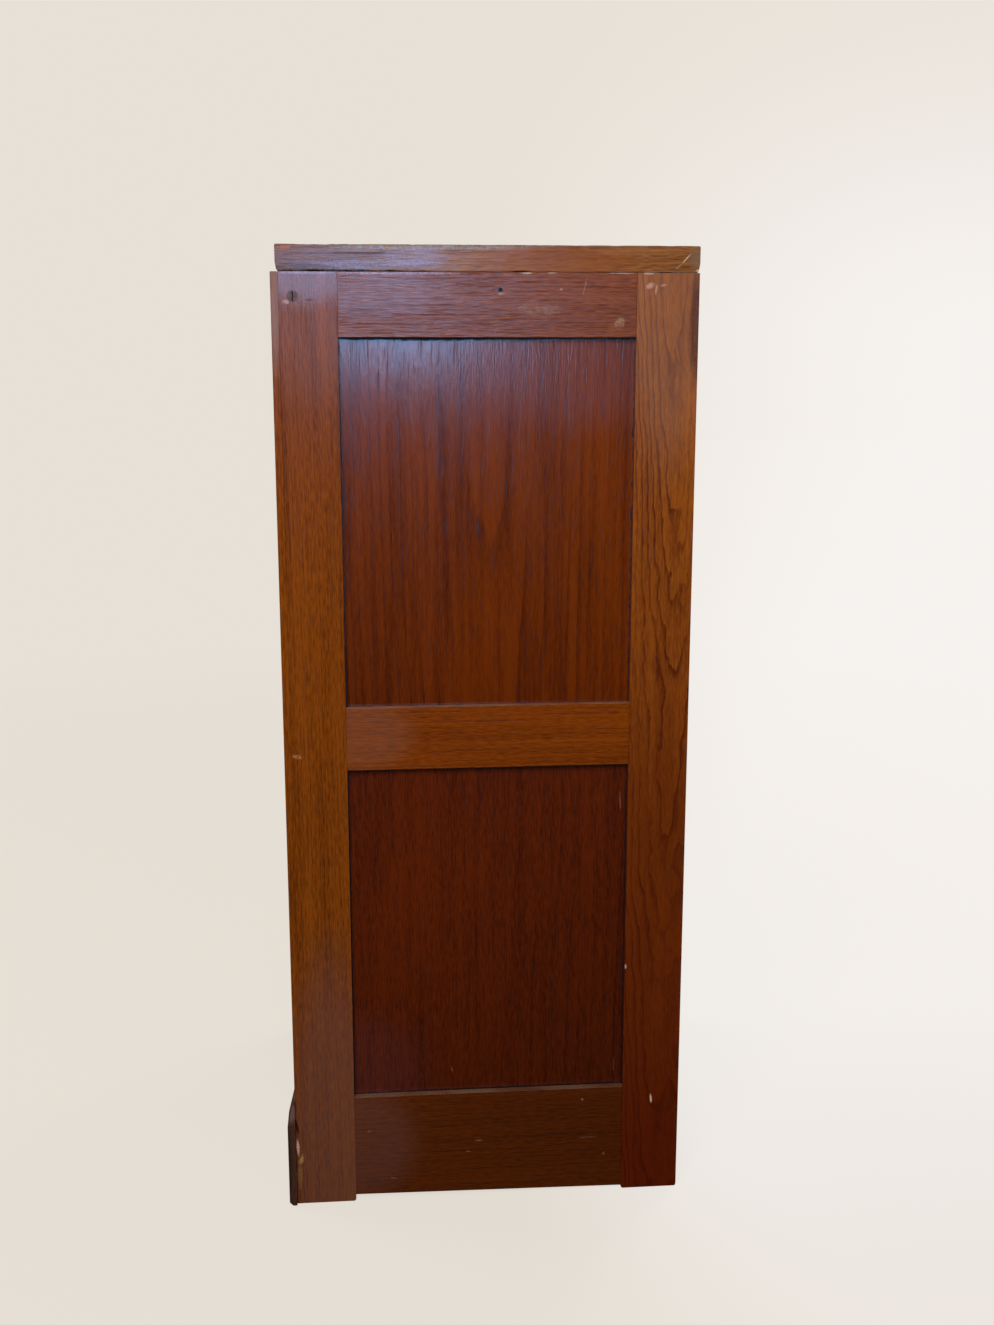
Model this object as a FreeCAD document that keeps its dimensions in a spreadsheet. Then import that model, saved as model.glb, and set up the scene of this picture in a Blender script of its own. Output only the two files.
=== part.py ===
import FreeCAD, Part
import os
import re
import Sketcher

# A narrow cabinet with frame-and-panel sides and a tambour shutter in front.
# X runs across the width, the front faces -Y, Z is up and zero is the floor.
# The shutter lifts behind the head rail, bends back under the top and hangs behind a false back.

SIZES = {
    # Side frames
    "carcass_width": 455.0,
    "side_depth": 424.5,
    "side_height": 1020.0,
    "frame_thick": 21.0,
    "front_stile_width": 58.0,
    "back_stile_width": 64.0,
    "top_rail_height": 64.0,
    "mid_rail_height": 68.0,
    "mid_rail_base": 505.5,
    "bottom_rail_top": 127.0,
    "foot_lift": 6.0,
    "tenon_length": 25.0,
    "tenon_shoulder": 10.0,
    "tenon_end_play": 1.0,
    "panel_thick": 6.0,
    "panel_recess": 9.0,
    "panel_groove": 8.0,
    "panel_play": 1.0,
    # Facings of the front
    "lipping_thick": 8.0,
    "plinth_thick": 8.5,
    "plinth_height": 127.5,
    "plinth_bevel_height": 31.0,
    "plinth_top_land": 1.0,
    "plinth_toe": 4.0,
    "plinth_overhang": 4.0,
    "plinth_board_thick": 14.0,
    # Top board
    "top_thick": 26.5,
    "top_overhang": 2.8,
    "top_bevel_height": 9.0,
    "top_bevel_depth": 1.5,
    "dowel_radius": 4.0,
    "dowel_depth": 18.0,
    "dowel_inset": 26.0,
    "dowel_play": 0.1,
    # Head rail, sill and floor
    "head_rail_height": 64.0,
    "head_rail_thick": 20.0,
    "sill_height": 40.0,
    "sill_tenon_length": 12.0,
    "sill_tenon_inset": 7.0,
    "floor_drop": 9.5,
    "floor_thick": 18.0,
    "floor_cleat_width": 18.0,
    "floor_cleat_height": 18.0,
    # Screws through the front stiles into the head rail
    "screw_inset": 13.8,
    "screw_drop": 24.0,
    "screw_length": 60.0,
    "screw_radius": 2.5,
    "screw_head_radius": 5.0,
    "screw_head_height": 3.0,
    "screw_slot_width": 1.2,
    "screw_slot_depth": 1.0,
    "screw_play": 0.1,
    # Back
    "back_inset": 1.0,
    "back_rail_thick": 16.5,
    "back_bottom_rail_height": 67.0,
    "back_tenon_length": 12.0,
    "back_panel_thick": 5.0,
    "back_groove": 6.0,
    "back_groove_inset": 5.5,
    # Shutter track and inner case
    "guide_thick": 12.0,
    "channel_width": 10.5,
    "bend_radius": 36.0,
    "cove_radius": 25.0,
    "cove_land": 0.3,
    "soffit_thick": 6.0,
    "soffit_drop": 5.5,
    "false_back_thick": 6.0,
    "false_back_inset": 5.0,
    "case_groove": 4.0,
    # Shelves
    "shelf_thick": 15.0,
    "shelf_front_inset": 8.0,
    "shelf_play": 1.0,
    "shelf_cleat_width": 12.0,
    "shelf_cleat_height": 15.0,
    "shelf_cleat_inset": 15.0,
    # Shutter
    "slat_thick": 7.5,
    "slat_gap": 0.6,
    "slat_bevel": 1.8,
    "slide_play": 0.5,
    "canvas_thick": 0.8,
    "canvas_inset": 26.0,
    "shutter_lap": 20.0,
    "lift_rail_height": 50.0,
    "lift_rail_front": 15.5,
    "lift_rail_play": 1.0,
    "pull_length": 140.0,
    "pull_depth": 12.0,
    "pull_height": 18.0,
    "pull_undercut": 7.0,
    "pull_top_bevel": 3.0,
    "pull_screw_spacing": 90.0,
    "pull_screw_radius": 1.8,
    "pull_screw_head_radius": 3.6,
    "pull_screw_head_height": 2.2,
    "pull_screw_grip": 8.0,
}
STRIP_COUNT = 13
SLATS_PER_STRIP = 3
SHELF_COUNT = 3

# Planes of the cabinet, as expressions of the named sizes
HALF = "carcass_width / 2"
INNER = f"({HALF} - frame_thick)"
LINED = f"({INNER} - guide_thick)"
PANEL_OUT = f"({HALF} - panel_recess)"
PANEL_IN = f"({PANEL_OUT} - panel_thick)"
DEPTH = "(side_depth + lipping_thick + plinth_thick)"
BACK = f"{DEPTH} / 2"
FRONT = f"({BACK} - side_depth)"
LIPPING_FRONT = f"({FRONT} - lipping_thick)"
STILE_BACK = f"({FRONT} + front_stile_width)"
BACK_STILE_FRONT = f"({BACK} - back_stile_width)"
TOP_RAIL_BASE = "(side_height - top_rail_height)"
MID_RAIL_TOP = "(mid_rail_base + mid_rail_height)"
HEAD_BASE = "(side_height - head_rail_height)"
CHANNEL_FRONT = f"({FRONT} + head_rail_thick)"
CHANNEL_BACK = f"({CHANNEL_FRONT} + channel_width)"
BACK_RAIL_BACK = f"({BACK} - back_inset)"
BACK_RAIL_FRONT = f"({BACK_RAIL_BACK} - back_rail_thick)"
LINING_BACK = f"({BACK_RAIL_FRONT} - channel_width)"
LINING_TOP = "(side_height - channel_width)"
FALSE_BACK_BACK = f"({LINING_BACK} - false_back_inset)"
FALSE_BACK_FRONT = f"({FALSE_BACK_BACK} - false_back_thick)"
SOFFIT_TOP = f"({LINING_TOP} - soffit_drop)"
SOFFIT_BASE = f"({SOFFIT_TOP} - soffit_thick)"
SOFFIT_FRONT = f"({CHANNEL_BACK} + bend_radius)"
SILL_TOP = "plinth_height"
FLOOR_TOP = f"({SILL_TOP} - floor_drop)"
FLOOR_BASE = f"({FLOOR_TOP} - floor_thick)"
SLAT_FRONT = f"({CHANNEL_FRONT} + slide_play)"
SLAT_BACK = f"({SLAT_FRONT} + slat_thick)"
SLAT_END = f"({INNER} - slide_play)"
LIFT_RAIL_TOP = f"({SILL_TOP} + lift_rail_height)"
PULL_LEVEL = f"({SILL_TOP} + lift_rail_height / 2)"
SHUTTER_TOP = f"({HEAD_BASE} + shutter_lap)"
SLAT_PITCH = f"(({SHUTTER_TOP} - {LIFT_RAIL_TOP}) / {STRIP_COUNT * SLATS_PER_STRIP})"
SIDES = ("right", "left")
TURN_TO_X = FreeCAD.Rotation(FreeCAD.Vector(0, 1, 0), 90)
TURN_TO_Y = FreeCAD.Rotation(FreeCAD.Vector(1, 0, 0), -90)
STAND_UP = FreeCAD.Rotation(FreeCAD.Vector(1, 0, 0), 90)

doc = FreeCAD.newDocument("TambourCabinet")
sheet = doc.addObject("Spreadsheet::Sheet", "Sizes")
for row, (alias, value) in enumerate(SIZES.items(), start=1):
    sheet.set(f"A{row}", alias)
    sheet.set(f"B{row}", str(value))
    sheet.setAlias(f"B{row}", alias)
doc.recompute()
pieces = []


def in_sheet(text):
    """The expression with each size's name pointing at its cell."""
    return re.sub(r"[a-z]\w*", lambda word: f"Sizes.{word.group()}", text)


def bind(feature, **expressions):
    """Ties properties of a feature to the sheet."""
    for name, text in expressions.items():
        feature.setExpression(name, in_sheet(text))


def piece(feature):
    """Marks a finished sub-part: it is written to a file under its label."""
    pieces.append(feature)
    return feature


def at(feature, x, y, z):
    for axis, text in zip("xyz", (x, y, z)):
        feature.setExpression(f"Placement.Base.{axis}", in_sheet(text))
    return feature


def box(name, x, y, z):
    """A block between two planes on each axis."""
    block = doc.addObject("Part::Box", name)
    for size, (low, high) in zip(("Length", "Width", "Height"), (x, y, z)):
        bind(block, **{size: f"{high} - {low}"})
    return at(block, x[0], y[0], z[0])


def rod(name, radius, length, start, turn):
    cylinder = doc.addObject("Part::Cylinder", name)
    cylinder.Placement.Rotation = turn
    bind(cylinder, Radius=radius, Height=length)
    return at(cylinder, *start)


def cone(name, first_radius, last_radius, length, start, turn):
    taper = doc.addObject("Part::Cone", name)
    taper.Placement.Rotation = turn
    bind(taper, Radius1=first_radius, Radius2=last_radius, Height=length)
    return at(taper, *start)


def fuse(name, solids):
    union = doc.addObject("Part::MultiFuse", name)
    union.Shapes = solids
    union.Refine = True
    return union


def cut(name, base, tools):
    result = doc.addObject("Part::Cut", name)
    result.Base = base
    result.Tool = tools[0] if len(tools) == 1 else fuse(f"{name}_cuts", tools)
    return result


def group(name, solids):
    """Separate solids that are alike, kept as one sub-part."""
    compound = doc.addObject("Part::Compound", name)
    compound.Links = solids
    return compound


def across(side, low, high):
    """A stretch of X on the right side, or its mirror image on the left."""
    return (low, high) if side == "right" else (f"-({high})", f"-({low})")


def profile_body(name, outlines, width):
    """A body whose outlines in the YZ plane are padded evenly to both sides of X zero."""
    body = doc.addObject("PartDesign::Body", name)
    body.AllowCompound = True
    sketch = body.newObject("Sketcher::SketchObject", f"{name}_profile")
    plane = next(o for o in body.Origin.OriginFeatures if o.Role == "YZ_Plane")
    sketch.AttachmentSupport = [(plane, "")]
    sketch.MapMode = "FlatFace"
    for outline in outlines:
        draw_outline(sketch, outline)
    pad = body.newObject("PartDesign::Pad", f"{name}_pad")
    pad.Profile = sketch
    pad.Midplane = True
    bind(pad, Length=width)
    return body


def draw_outline(sketch, outline):
    """Adds a closed outline whose corners are held by expressions."""
    first = sketch.GeometryCount
    corners = [[sheet.evalExpression(text) for text in corner] for corner in outline]
    points = [FreeCAD.Vector(y, z, 0) for y, z in corners]
    for start, end in zip(points, points[1:] + points[:1]):
        sketch.addGeometry(Part.LineSegment(start, end))
    for number, corner in enumerate(outline):
        line = first + number
        following = first + (number + 1) % len(outline)
        sketch.addConstraint(Sketcher.Constraint("Coincident", line, 2, following, 1))
        for kind, text, value in zip(("DistanceX", "DistanceY"), corner, corners[number]):
            held = sketch.addConstraint(Sketcher.Constraint(kind, -1, 1, line, 1, value))
            sketch.setExpression(f"Constraints[{held}]", in_sheet(text))


def rails_of_side():
    """Label, base and top of each rail of a side frame."""
    return (
        ("top_rail", TOP_RAIL_BASE, "side_height"),
        ("mid_rail", "mid_rail_base", MID_RAIL_TOP),
        ("bottom_rail", "foot_lift", "bottom_rail_top"),
    )


def panels_of_side():
    """Label, base and top of the opening that each panel fills."""
    return (
        ("upper_panel", MID_RAIL_TOP, TOP_RAIL_BASE),
        ("lower_panel", "bottom_rail_top", "mid_rail_base"),
    )


def rails_of_back():
    return (
        ("back_top_rail", TOP_RAIL_BASE, "side_height"),
        ("back_mid_rail", "mid_rail_base", MID_RAIL_TOP),
        ("back_bottom_rail", "(bottom_rail_top - back_bottom_rail_height)", "bottom_rail_top"),
    )


def stile_joints(name, side, edge, into):
    """Mortises and panel grooves in a stile's edge; into is -1 towards the front, 1 to the back."""
    x = across(side, PANEL_IN, PANEL_OUT)

    def stretch(depth):
        return (edge, f"({edge} + {depth})") if into > 0 else (f"({edge} - ({depth}))", edge)

    tools = []
    for label, base, top in rails_of_side():
        z = (f"({base} + tenon_shoulder)", f"({top} - tenon_shoulder)")
        tools.append(box(f"{name}_{label}_mortise", x, stretch("tenon_length + tenon_end_play"), z))
    for label, base, top in panels_of_side():
        z = (f"({base} - panel_groove)", f"({top} + panel_groove)")
        tools.append(box(f"{name}_{label}_groove", x, stretch("panel_groove"), z))
    return tools


def dowel_places():
    """Centres of the dowels between the stiles and the top board."""
    x = f"({HALF} - frame_thick / 2)"
    for side in SIDES:
        for end, y in (("front", f"({FRONT} + dowel_inset)"), ("back", f"({BACK} - dowel_inset)")):
            yield side, end, across(side, x, x)[0], y


def dowel_hole(name, x, y):
    start = (x, y, "(side_height - dowel_depth)")
    upright = FreeCAD.Rotation()
    return rod(name, "dowel_radius + dowel_play", "2 * dowel_depth", start, upright)


def screw_hole(name, side, low, high):
    """A hole along the head rail screw, between two planes of X."""
    x = across(side, low, high)
    start = (x[0], f"({FRONT} + screw_inset)", "(side_height - screw_drop)")
    return rod(name, "screw_radius + screw_play", f"{x[1]} - {x[0]}", start, TURN_TO_X)


def screw_head(name, side, play):
    """The countersunk cone at the stile's outer face."""
    radii = (f"screw_radius + {play}", f"screw_head_radius + {play}")
    x = across(side, f"({HALF} - screw_head_height)", f"({HALF})")
    first, last = radii if side == "right" else radii[::-1]
    start = (x[0], f"({FRONT} + screw_inset)", "(side_height - screw_drop)")
    return cone(name, first, last, "screw_head_height", start, TURN_TO_X)


def front_stile(side):
    """Front post of a side frame, with the sill's mortise and the screw's hole."""
    name = f"{side}_front_stile"
    blank = box(f"{name}_blank", across(side, INNER, HALF), (FRONT, STILE_BACK), ("0", "side_height"))
    tools = stile_joints(name, side, STILE_BACK, -1)
    tools.append(sill_tenon(f"{name}_sill_mortise", side, f"({INNER} + sill_tenon_length)"))
    tools.append(screw_hole(f"{name}_screw_hole", side, INNER, HALF))
    tools.append(screw_head(f"{name}_countersink", side, "screw_play"))
    tools += [
        dowel_hole(f"{name}_dowel_hole", x, y)
        for at_side, end, x, y in dowel_places()
        if (at_side, end) == (side, "front")
    ]
    piece(cut(name, blank, tools))


def back_stile(side):
    """Back post of a side frame, grooved and mortised for the back as well."""
    name = f"{side}_back_stile"
    blank = box(f"{name}_blank", across(side, INNER, HALF), (BACK_STILE_FRONT, BACK), ("0", "side_height"))
    tools = stile_joints(name, side, BACK_STILE_FRONT, 1)
    for label, base, top in rails_of_back():
        tools.append(back_tenon(f"{name}_{label}_mortise", side, base, top))
    for label, base, top in panels_of_side():
        x = across(side, INNER, f"({INNER} + back_groove)")
        z = (f"({base} - back_groove)", f"({top} + back_groove)")
        tools.append(box(f"{name}_back_{label}_groove", x, back_groove_depth(), z))
    tools += [
        dowel_hole(f"{name}_dowel_hole", x, y)
        for at_side, end, x, y in dowel_places()
        if (at_side, end) == (side, "back")
    ]
    piece(cut(name, blank, tools))


def side_rail(side, label, base, top):
    """Rail between two stiles, tenoned at both ends and grooved where a panel meets it."""
    name = f"{side}_{label}"
    body = box(f"{name}_bar", across(side, INNER, HALF), (STILE_BACK, BACK_STILE_FRONT), (base, top))
    tenon = box(
        f"{name}_tenons",
        across(side, PANEL_IN, PANEL_OUT),
        (f"({STILE_BACK} - tenon_length)", f"({BACK_STILE_FRONT} + tenon_length)"),
        (f"({base} + tenon_shoulder)", f"({top} - tenon_shoulder)"),
    )
    blank = fuse(f"{name}_blank", [body, tenon])
    tools = []
    for panel, low, high in panels_of_side():
        x = across(side, PANEL_IN, PANEL_OUT)
        y = (STILE_BACK, BACK_STILE_FRONT)
        if low == top:
            tools.append(box(f"{name}_{panel}_groove", x, y, (f"({top} - panel_groove)", top)))
        if high == base:
            tools.append(box(f"{name}_{panel}_groove", x, y, (base, f"({base} + panel_groove)")))
    piece(cut(name, blank, tools))


def side_panel(side, label, base, top):
    """Thin panel held in the grooves of its frame."""
    reach = "(panel_groove - panel_play)"
    y = (f"({STILE_BACK} - {reach})", f"({BACK_STILE_FRONT} + {reach})")
    z = (f"({base} - {reach})", f"({top} + {reach})")
    piece(box(f"{side}_{label}", across(side, PANEL_IN, PANEL_OUT), y, z))


def back_groove_depth():
    """The stretch of Y that the back panels fill."""
    start = f"({BACK_RAIL_FRONT} + back_groove_inset)"
    return (start, f"({start} + back_panel_thick)")


def back_tenon(name, side, base, top):
    x = across(side, INNER, f"({INNER} + back_tenon_length)")
    z = (f"({base} + tenon_shoulder)", f"({top} - tenon_shoulder)")
    return box(name, x, back_groove_depth(), z)


def back_rail(name, base, top):
    """Rail of the back, between the two back stiles."""
    bar = box(f"{name}_bar", (f"-{INNER}", INNER), (BACK_RAIL_FRONT, BACK_RAIL_BACK), (base, top))
    tenons = [back_tenon(f"{name}_{side}_tenon", side, base, top) for side in SIDES]
    blank = fuse(f"{name}_blank", [bar, *tenons])
    tools = []
    for panel, low, high in panels_of_side():
        x = (f"-{INNER}", INNER)
        if low == top:
            z = (f"({top} - back_groove)", top)
            tools.append(box(f"{name}_{panel}_groove", x, back_groove_depth(), z))
        if high == base:
            z = (base, f"({base} + back_groove)")
            tools.append(box(f"{name}_{panel}_groove", x, back_groove_depth(), z))
    piece(cut(name, blank, tools))


def back_panel(label, base, top):
    """Thin board that closes one field of the back."""
    reach = "(back_groove - panel_play)"
    x = f"({INNER} + {reach})"
    z = (f"({base} - {reach})", f"({top} + {reach})")
    piece(box(f"back_{label}", (f"-{x}", x), back_groove_depth(), z))


def lipping(side):
    """Facing that covers the front edges of a stile and of the guide strip beside it."""
    x = across(side, LINED, HALF)
    piece(box(f"{side}_lipping", x, (LIPPING_FRONT, FRONT), ("0", "side_height")))


def guide_strip(side):
    """Strip that keeps the shutter's ends from coming forwards."""
    name = f"{side}_guide_strip"
    x = across(side, LINED, INNER)
    blank = box(f"{name}_blank", x, (FRONT, CHANNEL_FRONT), (SILL_TOP, "side_height"))
    piece(cut(name, blank, [screw_hole(f"{name}_screw_hole", side, LINED, INNER)]))


def top_board():
    """Thick top, bevelled under its front and back edges, with blind holes for the dowels."""
    inset = "top_bevel_depth"
    depth = "(side_depth + top_overhang)"
    upper = box(
        "top_board_upper",
        (f"-({HALF})", HALF),
        (f"({FRONT} - top_overhang)", BACK),
        ("(side_height + top_bevel_height)", "(side_height + top_thick)"),
    )
    lower = doc.addObject("Part::Wedge", "top_board_bevel")
    lower.Placement.Rotation = STAND_UP
    bind(lower, Xmin="0", X2min="0", Xmax="carcass_width", X2max="carcass_width")
    bind(lower, Zmin=inset, Z2min="0", Zmax=f"{depth} - {inset}", Z2max=depth)
    bind(lower, Ymin="0", Ymax="top_bevel_height")
    at(lower, f"-({HALF})", BACK, "side_height")
    slab = fuse("top_board_slab", [upper, lower])
    holes = [dowel_hole(f"top_{side}_{end}_hole", x, y) for side, end, x, y in dowel_places()]
    piece(cut("top_board", slab, holes))


def top_dowels():
    """Dowels between the stiles and the top board."""
    dowels = [
        rod(
            f"top_{side}_{end}_dowel",
            "dowel_radius",
            "2 * dowel_depth",
            (x, y, "(side_height - dowel_depth)"),
            FreeCAD.Rotation(),
        )
        for side, end, x, y in dowel_places()
    ]
    piece(group("top_dowels", dowels))


def head_rail():
    """Rail under the top that hides the shutter when it is up."""
    blank = box("head_rail_bar", (f"-{LINED}", LINED), (FRONT, CHANNEL_FRONT), (HEAD_BASE, "side_height"))
    tip = f"({HALF} - screw_length)"
    holes = [screw_hole(f"head_rail_{side}_pilot", side, tip, LINED) for side in SIDES]
    piece(cut("head_rail", blank, holes))


def head_rail_screws():
    """Slotted screws through the front stiles into the ends of the head rail."""
    screws = []
    for side in SIDES:
        name = f"{side}_head_screw"
        x = across(side, f"({HALF} - screw_length)", f"({HALF} - screw_head_height)")
        start = (x[0], f"({FRONT} + screw_inset)", "(side_height - screw_drop)")
        shank = rod(f"{name}_shank", "screw_radius", f"{x[1]} - {x[0]}", start, TURN_TO_X)
        blank = fuse(f"{name}_blank", [shank, screw_head(f"{name}_cone", side, "0")])
        y, z = start[1:]
        slot = box(
            f"{name}_slot",
            across(side, f"({HALF} - screw_slot_depth)", f"({HALF} + screw_slot_depth)"),
            (f"({y} - screw_slot_width / 2)", f"({y} + screw_slot_width / 2)"),
            (f"({z} - 2 * screw_head_radius)", f"({z} + 2 * screw_head_radius)"),
        )
        screws.append(cut(name, blank, [slot]))
    piece(group("head_rail_screws", screws))


def plinth_block(side):
    """Block on the foot of a lipping, bevelled back at its top edge and proud of the side."""
    name = f"{side}_plinth_block"
    front = f"({LIPPING_FRONT} - plinth_thick)"
    outer = f"({HALF} + plinth_overhang)"
    outline = (
        (LIPPING_FRONT, "0"),
        (LIPPING_FRONT, "plinth_height"),
        (f"{LIPPING_FRONT} - plinth_top_land", "plinth_height"),
        (front, "plinth_height - plinth_bevel_height"),
        (front, "plinth_toe"),
        (f"{front} + plinth_toe", "0"),
    )
    block = profile_body(name, [outline], f"{outer} - {LINED}")
    middle = f"(({outer} + {LINED}) / 2)"
    piece(at(block, across(side, middle, middle)[0], "0", "0"))


def plinth_board():
    """Board between the stiles under the sill, set back behind the lippings."""
    y = (FRONT, f"({FRONT} + plinth_board_thick)")
    z = ("foot_lift", f"({SILL_TOP} - sill_height)")
    piece(box("plinth_board", (f"-{INNER}", INNER), y, z))


def sill_tenon(name, side, end):
    y = (f"({FRONT} + sill_tenon_inset)", f"({CHANNEL_BACK} - sill_tenon_inset)")
    z = (f"({SILL_TOP} - sill_height + tenon_shoulder)", f"({SILL_TOP} - tenon_shoulder)")
    return box(name, across(side, INNER, end), y, z)


def front_sill():
    """Rail that the closed shutter stands on, notched round the lippings."""
    z = (f"({SILL_TOP} - sill_height)", SILL_TOP)
    bar = box("front_sill_bar", (f"-{INNER}", INNER), (FRONT, CHANNEL_BACK), z)
    nose = box("front_sill_nose", (f"-{LINED}", LINED), (LIPPING_FRONT, FRONT), z)
    end = f"({INNER} + sill_tenon_length - tenon_end_play)"
    tenons = [sill_tenon(f"front_sill_{side}_tenon", side, end) for side in SIDES]
    piece(fuse("front_sill", [bar, nose, *tenons]))


def floor():
    """Bottom board and the cleats under it."""
    piece(
        box(
            "bottom_board",
            (f"-{INNER}", INNER),
            (CHANNEL_BACK, BACK_RAIL_FRONT),
            (FLOOR_BASE, FLOOR_TOP),
        )
    )
    cleats = [
        box(
            f"{side}_floor_cleat",
            across(side, f"({INNER} - floor_cleat_width)", INNER),
            (STILE_BACK, BACK_STILE_FRONT),
            (f"({FLOOR_BASE} - floor_cleat_height)", FLOOR_BASE),
        )
        for side in SIDES
    ]
    piece(group("floor_cleats", cleats))


def lining_board(side):
    """Side board of the inner case; the shutter runs round its edges and rounded top corners."""
    name = f"{side}_lining_board"
    body = doc.addObject("PartDesign::Body", f"{name}_body")
    sketch = body.newObject("Sketcher::SketchObject", f"{name}_profile")
    plane = next(o for o in body.Origin.OriginFeatures if o.Role == "YZ_Plane")
    sketch.AttachmentSupport = [(plane, "")]
    sketch.MapMode = "FlatFace"
    outline = (
        (CHANNEL_BACK, FLOOR_TOP),
        (LINING_BACK, FLOOR_TOP),
        (LINING_BACK, LINING_TOP),
        (CHANNEL_BACK, LINING_TOP),
    )
    draw_outline(sketch, outline)
    pad = body.newObject("PartDesign::Pad", f"{name}_pad")
    pad.Profile = sketch
    bind(pad, Length="guide_thick")
    doc.recompute()
    middle = pad.Shape.CenterOfMass.z
    corners = [
        f"Edge{number}"
        for number, edge in enumerate(pad.Shape.Edges, start=1)
        if edge.BoundBox.XLength > edge.BoundBox.YLength + edge.BoundBox.ZLength
        and edge.CenterOfMass.z > middle
    ]
    rounding = body.newObject("PartDesign::Fillet", f"{name}_rounding")
    rounding.Base = (pad, corners)
    bind(rounding, Radius="bend_radius")
    at(body, across(side, LINED, INNER)[0], "0", "0")
    groove = across(side, LINED, f"({LINED} + case_groove)")
    tools = [
        box(f"{name}_soffit_groove", groove, (SOFFIT_FRONT, FALSE_BACK_BACK), (SOFFIT_BASE, SOFFIT_TOP)),
        box(f"{name}_back_groove", groove, (FALSE_BACK_FRONT, FALSE_BACK_BACK), (FLOOR_TOP, SOFFIT_BASE)),
    ]
    piece(cut(name, body, tools))


def inner_case():
    """Soffit and false back, which part the shelves from the travelling shutter."""
    x = f"({LINED} + case_groove)"
    piece(box("soffit", (f"-{x}", x), (SOFFIT_FRONT, FALSE_BACK_BACK), (SOFFIT_BASE, SOFFIT_TOP)))
    piece(box("false_back", (f"-{x}", x), (FALSE_BACK_FRONT, FALSE_BACK_BACK), (FLOOR_TOP, SOFFIT_BASE)))


def bend_blocks(end):
    """Coved blocks that turn the shutter at the outside of a bend."""
    size = "(cove_radius + cove_land)"
    wall = CHANNEL_FRONT if end == "front" else BACK_RAIL_FRONT
    inner = f"({wall} + {size})" if end == "front" else f"({wall} - {size})"
    y = (wall, inner) if end == "front" else (inner, wall)
    base = f"(side_height - {size})"
    blocks = []
    for side in SIDES:
        name = f"{side}_{end}_bend_block"
        x = across(side, LINED, INNER)
        blank = box(f"{name}_blank", x, y, (base, "side_height"))
        cove = rod(f"{name}_cove", "cove_radius", "guide_thick", (x[0], inner, base), TURN_TO_X)
        blocks.append(cut(name, blank, [cove]))
    piece(group(f"{end}_bend_blocks", blocks))


def shelf_top(number):
    bay = f"(({SOFFIT_BASE} - {FLOOR_TOP}) / {SHELF_COUNT + 1})"
    return f"({FLOOR_TOP} + {number} * {bay})"


def shelves():
    """Loose shelves, and the cleats on the lining boards that carry them."""
    front = f"({CHANNEL_BACK} + shelf_front_inset)"
    back = f"({FALSE_BACK_FRONT} - shelf_play)"
    x = f"({LINED} - shelf_play)"
    cleats = []
    for number in range(1, SHELF_COUNT + 1):
        top = shelf_top(number)
        base = f"({top} - shelf_thick)"
        piece(box(f"shelf_{number}", (f"-{x}", x), (front, back), (base, top)))
        for side in SIDES:
            cleats.append(
                box(
                    f"{side}_shelf_{number}_cleat",
                    across(side, f"({LINED} - shelf_cleat_width)", LINED),
                    (f"({front} + shelf_cleat_inset)", f"({back} - shelf_cleat_inset)"),
                    (f"({base} - shelf_cleat_height)", base),
                )
            )
    piece(group("shelf_cleats", cleats))


def pull_screw_places():
    for side in SIDES:
        yield side, across(side, "(pull_screw_spacing / 2)", "(pull_screw_spacing / 2)")[0]


def pull_screw(name, x, play):
    """A screw, or with play its hole, from the back of the lift rail into the pull."""
    tip = f"({SLAT_FRONT} - lift_rail_front - pull_screw_grip)"
    start = (x, tip, PULL_LEVEL)
    length = f"({SLAT_BACK} - pull_screw_head_height) - {tip}"
    shank = rod(f"{name}_shank", f"pull_screw_radius + {play}", length, start, TURN_TO_Y)
    head = cone(
        f"{name}_head",
        f"pull_screw_radius + {play}",
        f"pull_screw_head_radius + {play}",
        "pull_screw_head_height",
        (x, f"({SLAT_BACK} - pull_screw_head_height)", PULL_LEVEL),
        TURN_TO_Y,
    )
    return fuse(name, [shank, head])


def lift_rail():
    """Lowest bar of the shutter, with its pull; its tongues run in the channels."""
    x = f"({LINED} - lift_rail_play)"
    z = (SILL_TOP, LIFT_RAIL_TOP)
    face = f"({SLAT_FRONT} - lift_rail_front)"
    tongue = box("lift_rail_tongue", (f"-{SLAT_END}", SLAT_END), (SLAT_FRONT, SLAT_BACK), z)
    bar = box("lift_rail_bar", (f"-{x}", x), (face, SLAT_FRONT), z)
    blank = fuse("lift_rail_blank", [tongue, bar])
    holes = [pull_screw(f"lift_rail_{side}_hole", at_x, "screw_play") for side, at_x in pull_screw_places()]
    piece(cut("lift_rail", blank, holes))
    low = f"({PULL_LEVEL} - pull_height / 2)"
    high = f"({PULL_LEVEL} + pull_height / 2)"
    tip = f"({face} - pull_depth)"
    outline = (
        (face, f"{low} + pull_undercut"),
        (face, high),
        (f"{tip} + pull_top_bevel", high),
        (tip, f"{high} - pull_top_bevel"),
        (tip, low),
    )
    blank = profile_body("lift_pull_blank", [outline], "pull_length")
    holes = [pull_screw(f"lift_pull_{side}_hole", at_x, "screw_play") for side, at_x in pull_screw_places()]
    piece(cut("lift_pull", blank, holes))
    screws = [pull_screw(f"{side}_pull_screw", at_x, "0") for side, at_x in pull_screw_places()]
    piece(group("pull_screws", screws))


def slat_outline(number):
    """Section of one slat, bevelled at its two front edges."""
    low = f"({LIFT_RAIL_TOP} + {number} * {SLAT_PITCH} + slat_gap / 2)"
    high = f"({LIFT_RAIL_TOP} + {number + 1} * {SLAT_PITCH} - slat_gap / 2)"
    return (
        (SLAT_BACK, low),
        (SLAT_BACK, high),
        (f"{SLAT_FRONT} + slat_bevel", high),
        (SLAT_FRONT, f"{high} - slat_bevel"),
        (SLAT_FRONT, f"{low} + slat_bevel"),
        (f"{SLAT_FRONT} + slat_bevel", low),
    )


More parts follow.
